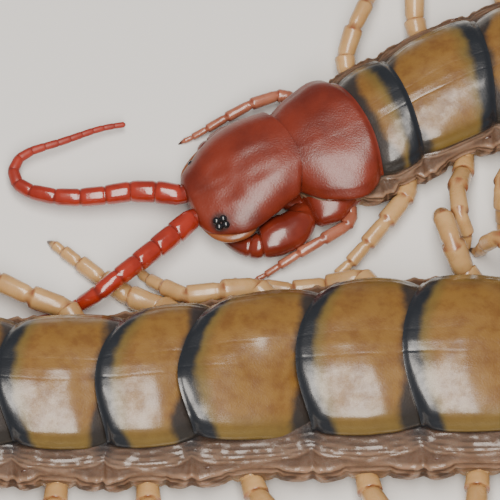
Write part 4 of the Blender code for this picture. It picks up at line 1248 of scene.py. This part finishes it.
def leather_grain_group():
    """Fine pebbled grain of a shell with slow dents under it, as a normal and a mask."""
    group, entry, leave = new_group(
        "leather_grain",
        [("Grain Scale", "value", 6000.0), ("Grain", "value", 0.2), ("Dents", "value", 0.2)],
        [("Normal", "normal"), ("Mask", "value")])
    space = add_node(group, "ShaderNodeTexCoord").outputs["Object"]
    scale = entry.outputs["Grain Scale"]
    pebbles = add_node(group, "ShaderNodeTexVoronoi", {"Vector": space, "Scale": scale},
                       feature="SMOOTH_F1").outputs["Distance"]
    fine = add_node(group, "ShaderNodeTexNoise", {"Vector": space, "Scale": scale,
                                                  "Detail": 3.0}).outputs["Fac"]
    slow = speckle(group, 900.0, 4.0, 0.6)
    dents = add_node(group, "ShaderNodeBump", {"Height": slow, "Strength": entry.outputs["Dents"],
                                               "Distance": 0.0003})
    height = math_of(group, "ADD", pebbles, fine)
    grain = add_node(group, "ShaderNodeBump", {"Height": height, "Strength": entry.outputs["Grain"],
                                               "Distance": 0.00003, "Normal": dents.outputs["Normal"]})
    group.links.new(grain.outputs["Normal"], leave.inputs["Normal"])
    group.links.new(math_of(group, "MULTIPLY", slow, fine), leave.inputs["Mask"])
    return group


def plate_band_group():
    """Ochre plate with an olive border, a blue-black rear band and dark corners."""
    group, entry, leave = new_group(
        "plate_band",
        [("From Front", "value", 0.0), ("To Rear", "value", 0.0), ("Across", "value", 0.0),
         ("Band", "value", 1.65), ("Ochre", "colour", OCHRE),
         ("Olive", "colour", OLIVE), ("Dark", "colour", PLATE_DARK)],
        [("Colour", "colour"), ("Band Mask", "value")])
    wander = speckle(group, 420.0, 4.0, 0.6)
    drift = math_of(group, "MULTIPLY", math_of(group, "SUBTRACT", wander, 0.5), 1.3)
    side = math_of(group, "ABSOLUTE", entry.outputs["Across"])
    to_rear = math_of(group, "ADD", entry.outputs["To Rear"], drift)
    to_rear = math_of(group, "SUBTRACT", to_rear, entry.outputs["Band"])
    to_rear = math_of(group, "SUBTRACT", to_rear, stepped(group, side, 0.72, 1.0, 0.0, 0.5))
    rear_band = stepped(group, to_rear, -0.45, 0.45, 1.0, 0.0)
    from_front = math_of(group, "ADD", entry.outputs["From Front"], drift)
    from_front = math_of(group, "SUBTRACT", from_front, stepped(group, side, 0.4, 0.95, 0.1, 1.5))
    front_band = stepped(group, from_front, 0.0, 0.9, 0.9, 0.0)
    band = math_of(group, "MAXIMUM", rear_band, front_band)
    near_band = math_of(group, "MAXIMUM", stepped(group, to_rear, 0.0, 1.5, 1.0, 0.0),
                        stepped(group, side, 0.7, 0.98, 0.0, 0.85))
    mottle = patches(group, 700.0, 5.0, 0.62)
    ochre = mixed(group, mottle, entry.outputs["Ochre"], OCHRE_DEEP)
    border = mixed(group, math_of(group, "MULTIPLY", near_band, 0.75), ochre, entry.outputs["Olive"])
    colour = mixed(group, band, border, entry.outputs["Dark"])
    group.links.new(colour, leave.inputs["Colour"])
    group.links.new(band, leave.inputs["Band Mask"])
    return group


def blank_finish(name, **values):
    """Material with one Principled shader and these plain values on its own sockets."""
    material = bpy.data.materials.new(name)
    material.use_nodes = True
    shader = material.node_tree.nodes["Principled BSDF"]
    for label, value in values.items():
        shader.inputs[label.replace("_", " ")].default_value = value
    return material, material.node_tree, shader


def grained(tree, shader, group, scale, grain, dents):
    """Leather grain placed in a material and joined to its shader."""
    made = add_node(tree, "ShaderNodeGroup", node_tree=group)
    made.inputs["Grain Scale"].default_value = scale
    made.inputs["Grain"].default_value = grain
    made.inputs["Dents"].default_value = dents
    tree.links.new(made.outputs["Normal"], shader.inputs["Normal"])
    return made.outputs["Mask"]


def banded_plate_finish(grain_group, band_group):
    """Grained plate with its bands and a cloudy gloss."""
    material, tree, shader = blank_finish("banded_plate", Coat_Roughness=0.17, Specular_IOR_Level=0.25)
    grained(tree, shader, grain_group, 7000.0, 0.35, 0.07)
    band = add_node(tree, "ShaderNodeGroup", {"From Front": mark_of(tree, "from_front"),
                                              "To Rear": mark_of(tree, "to_rear"),
                                              "Across": mark_of(tree, "across")}, node_tree=band_group)
    tree.links.new(band.outputs["Colour"], shader.inputs["Base Color"])
    cloud = speckle(tree, 420.0, 6.0, 0.68)
    tree.links.new(stepped(tree, cloud, 0.34, 0.62, 0.3, 1.0), shader.inputs["Coat Weight"])
    tree.links.new(stepped(tree, cloud, 0.3, 0.7, 0.46, 0.3), shader.inputs["Roughness"])
    return material


def red_shell_finish(name, colours, grain_group, roughness, grain=0.4):
    """Dark red shell with deeper patches, black where the eyes sit."""
    material, tree, shader = blank_finish(name, Specular_IOR_Level=0.5, Coat_Weight=0.2, Coat_Roughness=0.28)
    mask = grained(tree, shader, grain_group, 6500.0, grain, 0.04)
    shade = mixed(tree, patches(tree, 260.0), *colours)
    eye_spot = math_of(tree, "MULTIPLY", mark_of(tree, "eye_spot"), 0.9)
    shade = mixed(tree, eye_spot, shade, EYE_SHADE)
    tree.links.new(shade, shader.inputs["Base Color"])
    gloss = stepped(tree, mask, 0.1, 0.5, roughness - 0.05, roughness + 0.05)
    tree.links.new(gloss, shader.inputs["Roughness"])
    return material


def soft_skin_finish():
    """Wet grey-brown skin with painted shade under the plates and in the creases of its folds, tanner round
    the leg roots, with fine wrinkles.
    """
    material, tree, shader = blank_finish("soft_skin", Coat_Roughness=0.1, Specular_IOR_Level=0.15,
                                          Subsurface_Weight=0.12, Subsurface_Scale=0.0008)
    patch = patches(tree, 500.0, 5.0, 0.6)
    colour = mixed(tree, patch, *SKIN_TAN)
    # Painted shade in the creases: the colour runs to the darker crease tone where the crest mark is low
    crest = stepped(tree, mark_of(tree, "crest"), 0.15, 0.85, 0.0, 1.0)
    crease_shade = mixed(tree, patch, *SKIN_CREASE_SHADE)
    colour = mixed(tree, crest, crease_shade, colour)
    # Painted shade under the plates: the skin runs darker towards the plate edges, where they overhang it
    under = stepped(tree, mark_of(tree, "level"), 0.5, 0.6, 0.0, 0.75)
    colour = mixed(tree, under, colour, SKIN_UNDER_SHADE)
    root = math_of(tree, "MULTIPLY", mark_of(tree, "leg_root"), 0.9)
    colour = mixed(tree, root, colour, SKIN_ROOT)
    corner = math_of(tree, "MULTIPLY", mark_of(tree, "corner"), 0.9)
    colour = mixed(tree, corner, colour, SKIN_CORNER)
    tree.links.new(colour, shader.inputs["Base Color"])
    wet = stepped(tree, speckle(tree, 900.0, 3.0, 0.5, stretch=(1.0, 1.0, 3.0)), 0.46, 0.62, 0.0, 1.0)
    wet = math_of(tree, "MULTIPLY", wet, stepped(tree, mark_of(tree, "crest"), 0.35, 0.8, 0.05, 0.9))
    tree.links.new(wet, shader.inputs["Coat Weight"])
    wrinkles = speckle(tree, 1500.0, 5.0, 0.65, stretch=(1.0, 1.0, 2.4))
    bump = add_node(tree, "ShaderNodeBump", {"Height": wrinkles, "Strength": 0.6, "Distance": 0.0002})
    tree.links.new(bump.outputs["Normal"], shader.inputs["Normal"])
    tree.links.new(stepped(tree, patch, 0.0, 1.0, 0.42, 0.55), shader.inputs["Roughness"])
    return material


def leg_finish(name, colours, tip, grain_group):
    """Glossy leg shell with red-brown spots at its joints and a dark claw."""
    material, tree, shader = blank_finish(name, Coat_Weight=0.45, Coat_Roughness=0.14,
                                          Subsurface_Weight=0.08, Subsurface_Scale=0.0006)
    grained(tree, shader, grain_group, 5000.0, 0.1, 0.05)
    patch = patches(tree, 450.0)
    shade = mixed(tree, patch, *colours)
    joint = math_of(tree, "MULTIPLY", mark_of(tree, "joint"), 0.85)
    shade = mixed(tree, joint, shade, LEG_SPOT)
    shade = mixed(tree, stepped(tree, mark_of(tree, "reach"), 0.98, 1.12), shade, tip)
    tree.links.new(shade, shader.inputs["Base Color"])
    tree.links.new(stepped(tree, patch, 0.0, 1.0, 0.24, 0.32), shader.inputs["Roughness"])
    return material


def feeler_finish(grain_group):
    """Vivid red feeler, glossy near the head and matt with fine down farther out."""
    material, tree, shader = blank_finish("feeler_shell", Specular_IOR_Level=0.5)
    grained(tree, shader, grain_group, 8000.0, 0.12, 0.03)
    shade = mixed(tree, patches(tree, 600.0), *FEELER_RED)
    joint = math_of(tree, "MULTIPLY", mark_of(tree, "joint"), 0.7)
    shade = mixed(tree, joint, shade, FEELER_JOINT)
    tree.links.new(shade, shader.inputs["Base Color"])
    reach = mark_of(tree, "reach")
    tree.links.new(stepped(tree, reach, 0.3, 0.42, 0.2, 0.5), shader.inputs["Roughness"])
    tree.links.new(stepped(tree, reach, 0.3, 0.42, 0.6, 0.0), shader.inputs["Coat Weight"])
    return material


def poison_claw_finish(grain_group):
    """Dark glossy red that runs to black at the claw's tip."""
    material, tree, shader = blank_finish("poison_claw", Coat_Weight=0.4, Coat_Roughness=0.12)
    grained(tree, shader, grain_group, 6000.0, 0.12, 0.03)
    reach = mark_of(tree, "reach")
    red = mixed(tree, patches(tree, 300.0, 3.0), *CLAW_RED)
    tree.links.new(mixed(tree, stepped(tree, reach, 0.62, 0.95), red, CLAW_TIP), shader.inputs["Base Color"])
    tree.links.new(stepped(tree, reach, 0.0, 1.0, 0.26, 0.16), shader.inputs["Roughness"])
    return material


def plain_shell_finish(name, colours, roughness, grain_group, coat=0.3):
    """Shell of two close tones in patches."""
    material, tree, shader = blank_finish(name, Coat_Weight=coat, Coat_Roughness=0.15)
    grained(tree, shader, grain_group, 5000.0, 0.15, 0.05)
    patch = patches(tree, 500.0)
    tree.links.new(mixed(tree, patch, *colours), shader.inputs["Base Color"])
    tree.links.new(stepped(tree, patch, 0.0, 1.0, roughness, roughness + 0.08), shader.inputs["Roughness"])
    return material


# Floor, light and camera


def make_floor():
    """Pale floor just under the feet."""
    mesh = bpy.data.meshes.new("floor")
    reach = FLOOR_REACH * MM
    mesh.from_pydata([(-reach, -reach, 0), (reach, -reach, 0), (reach, reach, 0), (-reach, reach, 0)], [],
                     [(0, 1, 2, 3)])
    floor = bpy.data.objects.new("floor", mesh)
    floor.location.z = -FLOOR_DROP * MM
    bpy.context.scene.collection.objects.link(floor)
    material, _, _ = blank_finish("pale_floor", Base_Color=FLOOR_COLOUR, Roughness=0.9,
                                  Specular_IOR_Level=0.2)
    mesh.materials.append(material)


def make_softbox(name, position, target, size, power, colour):
    """Rectangular soft light aimed at a target, all in millimetres."""
    light = bpy.data.lights.new(name, "AREA")
    light.shape = "RECTANGLE"
    light.size, light.size_y = size[0] * MM, size[1] * MM
    light.energy = power
    light.color = colour
    lamp = bpy.data.objects.new(name, light)
    lamp.location = Vector(position) * MM
    lamp.rotation_euler = (Vector(position) - Vector(target)).to_track_quat("Z", "Y").to_euler()
    bpy.context.scene.collection.objects.link(lamp)


def make_light():
    """One soft light over the body and a dim, cool room."""
    make_softbox("key_softbox", KEY_PLACE, KEY_TARGET, KEY_SIZE, KEY_POWER, KEY_COLOUR)
    world = bpy.data.worlds.new("studio")
    bpy.context.scene.world = world
    world.use_nodes = True
    room = world.node_tree.nodes["Background"]
    room.inputs["Color"].default_value = STUDIO_COLOUR
    room.inputs["Strength"].default_value = STUDIO_STRENGTH


def make_camera():
    """Camera with a long lens, high over the body."""
    camera = bpy.data.cameras.new("camera")
    camera.sensor_width = SENSOR
    camera.lens = SENSOR * VIEW_DISTANCE / (PIXEL * FRAME_PIXELS)
    camera.clip_start, camera.clip_end = 0.01, 20.0
    obj = bpy.data.objects.new("camera", camera)
    rise = math.radians(VIEW_ELEVATION)
    back = Vector((0.0, -math.cos(rise), math.sin(rise)))
    obj.location = (Vector(VIEW_CENTRE) + back * VIEW_DISTANCE) * MM
    obj.rotation_euler = back.to_track_quat("Z", "Y").to_euler()
    bpy.context.scene.collection.objects.link(obj)
    bpy.context.scene.camera = obj


def make_trunk(finishes):
    """Soft skin, back and belly plates and breathing slits."""
    trunk_nodes = [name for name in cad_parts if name.startswith("trunk_")]
    make_soft_skin(finishes["skin"], trunk_nodes)
    for number in range(1, SEGMENTS + 1):
        make_back_plate(number, finishes["head"] if number == 1 else finishes["plate"])
        make_belly_plate(number, finishes["belly"])
    for number in BREATHING_SEGMENTS:
        for sign in (1.0, -1.0):
            make_breathing_slit(number, sign, finishes["slit"])


def make_finishes():
    """All finishes by name."""
    grain, band = leather_grain_group(), plate_band_group()
    return {
        "plate": banded_plate_finish(grain, band),
        "head": red_shell_finish("head_shell", HEAD_RED, grain, 0.36),
        "jaw": red_shell_finish("jaw_shell", JAW_RED, grain, 0.26, 0.15),
        "claw": poison_claw_finish(grain),
        "skin": soft_skin_finish(),
        "belly": plain_shell_finish("belly_plate", BELLY_TAN, 0.3, grain),
        "slit": plain_shell_finish("breathing_slit", SLIT_BROWN, 0.25, grain),
        "leg": leg_finish("leg_shell", LEG_TAN, LEG_TIP, grain),
        "first_leg": leg_finish("first_leg_shell", FIRST_LEG_RED, FIRST_LEG_TIP, grain),
        "feeler": feeler_finish(grain),
        "mouth": plain_shell_finish("mouth_skin", MOUTH_BROWN, 0.25, grain),
        "eye": plain_shell_finish("simple_eye", EYE_BLACK, 0.14, grain, 0.5),
    }


def main():
    finishes = make_finishes()
    make_head(finishes["head"])
    make_jaw_plate(finishes["jaw"])
    make_mouthparts(finishes["mouth"])
    make_trunk(finishes)
    for side_name, sign in (("left", 1.0), ("right", -1.0)):
        make_eyes(side_name, sign, finishes["eye"])
        make_mouth_rim(sign, side_name, finishes["mouth"])
        make_poison_claw(side_name, sign, finishes["claw"])
        make_feeler(side_name, sign, finishes["feeler"])
        for number in range(1, SEGMENTS):
            make_leg(number, side_name, sign, finishes["first_leg"] if number == 1 else finishes["leg"])
        make_last_leg(side_name, sign, finishes["leg"])
    make_floor()
    make_light()
    make_camera()


main()
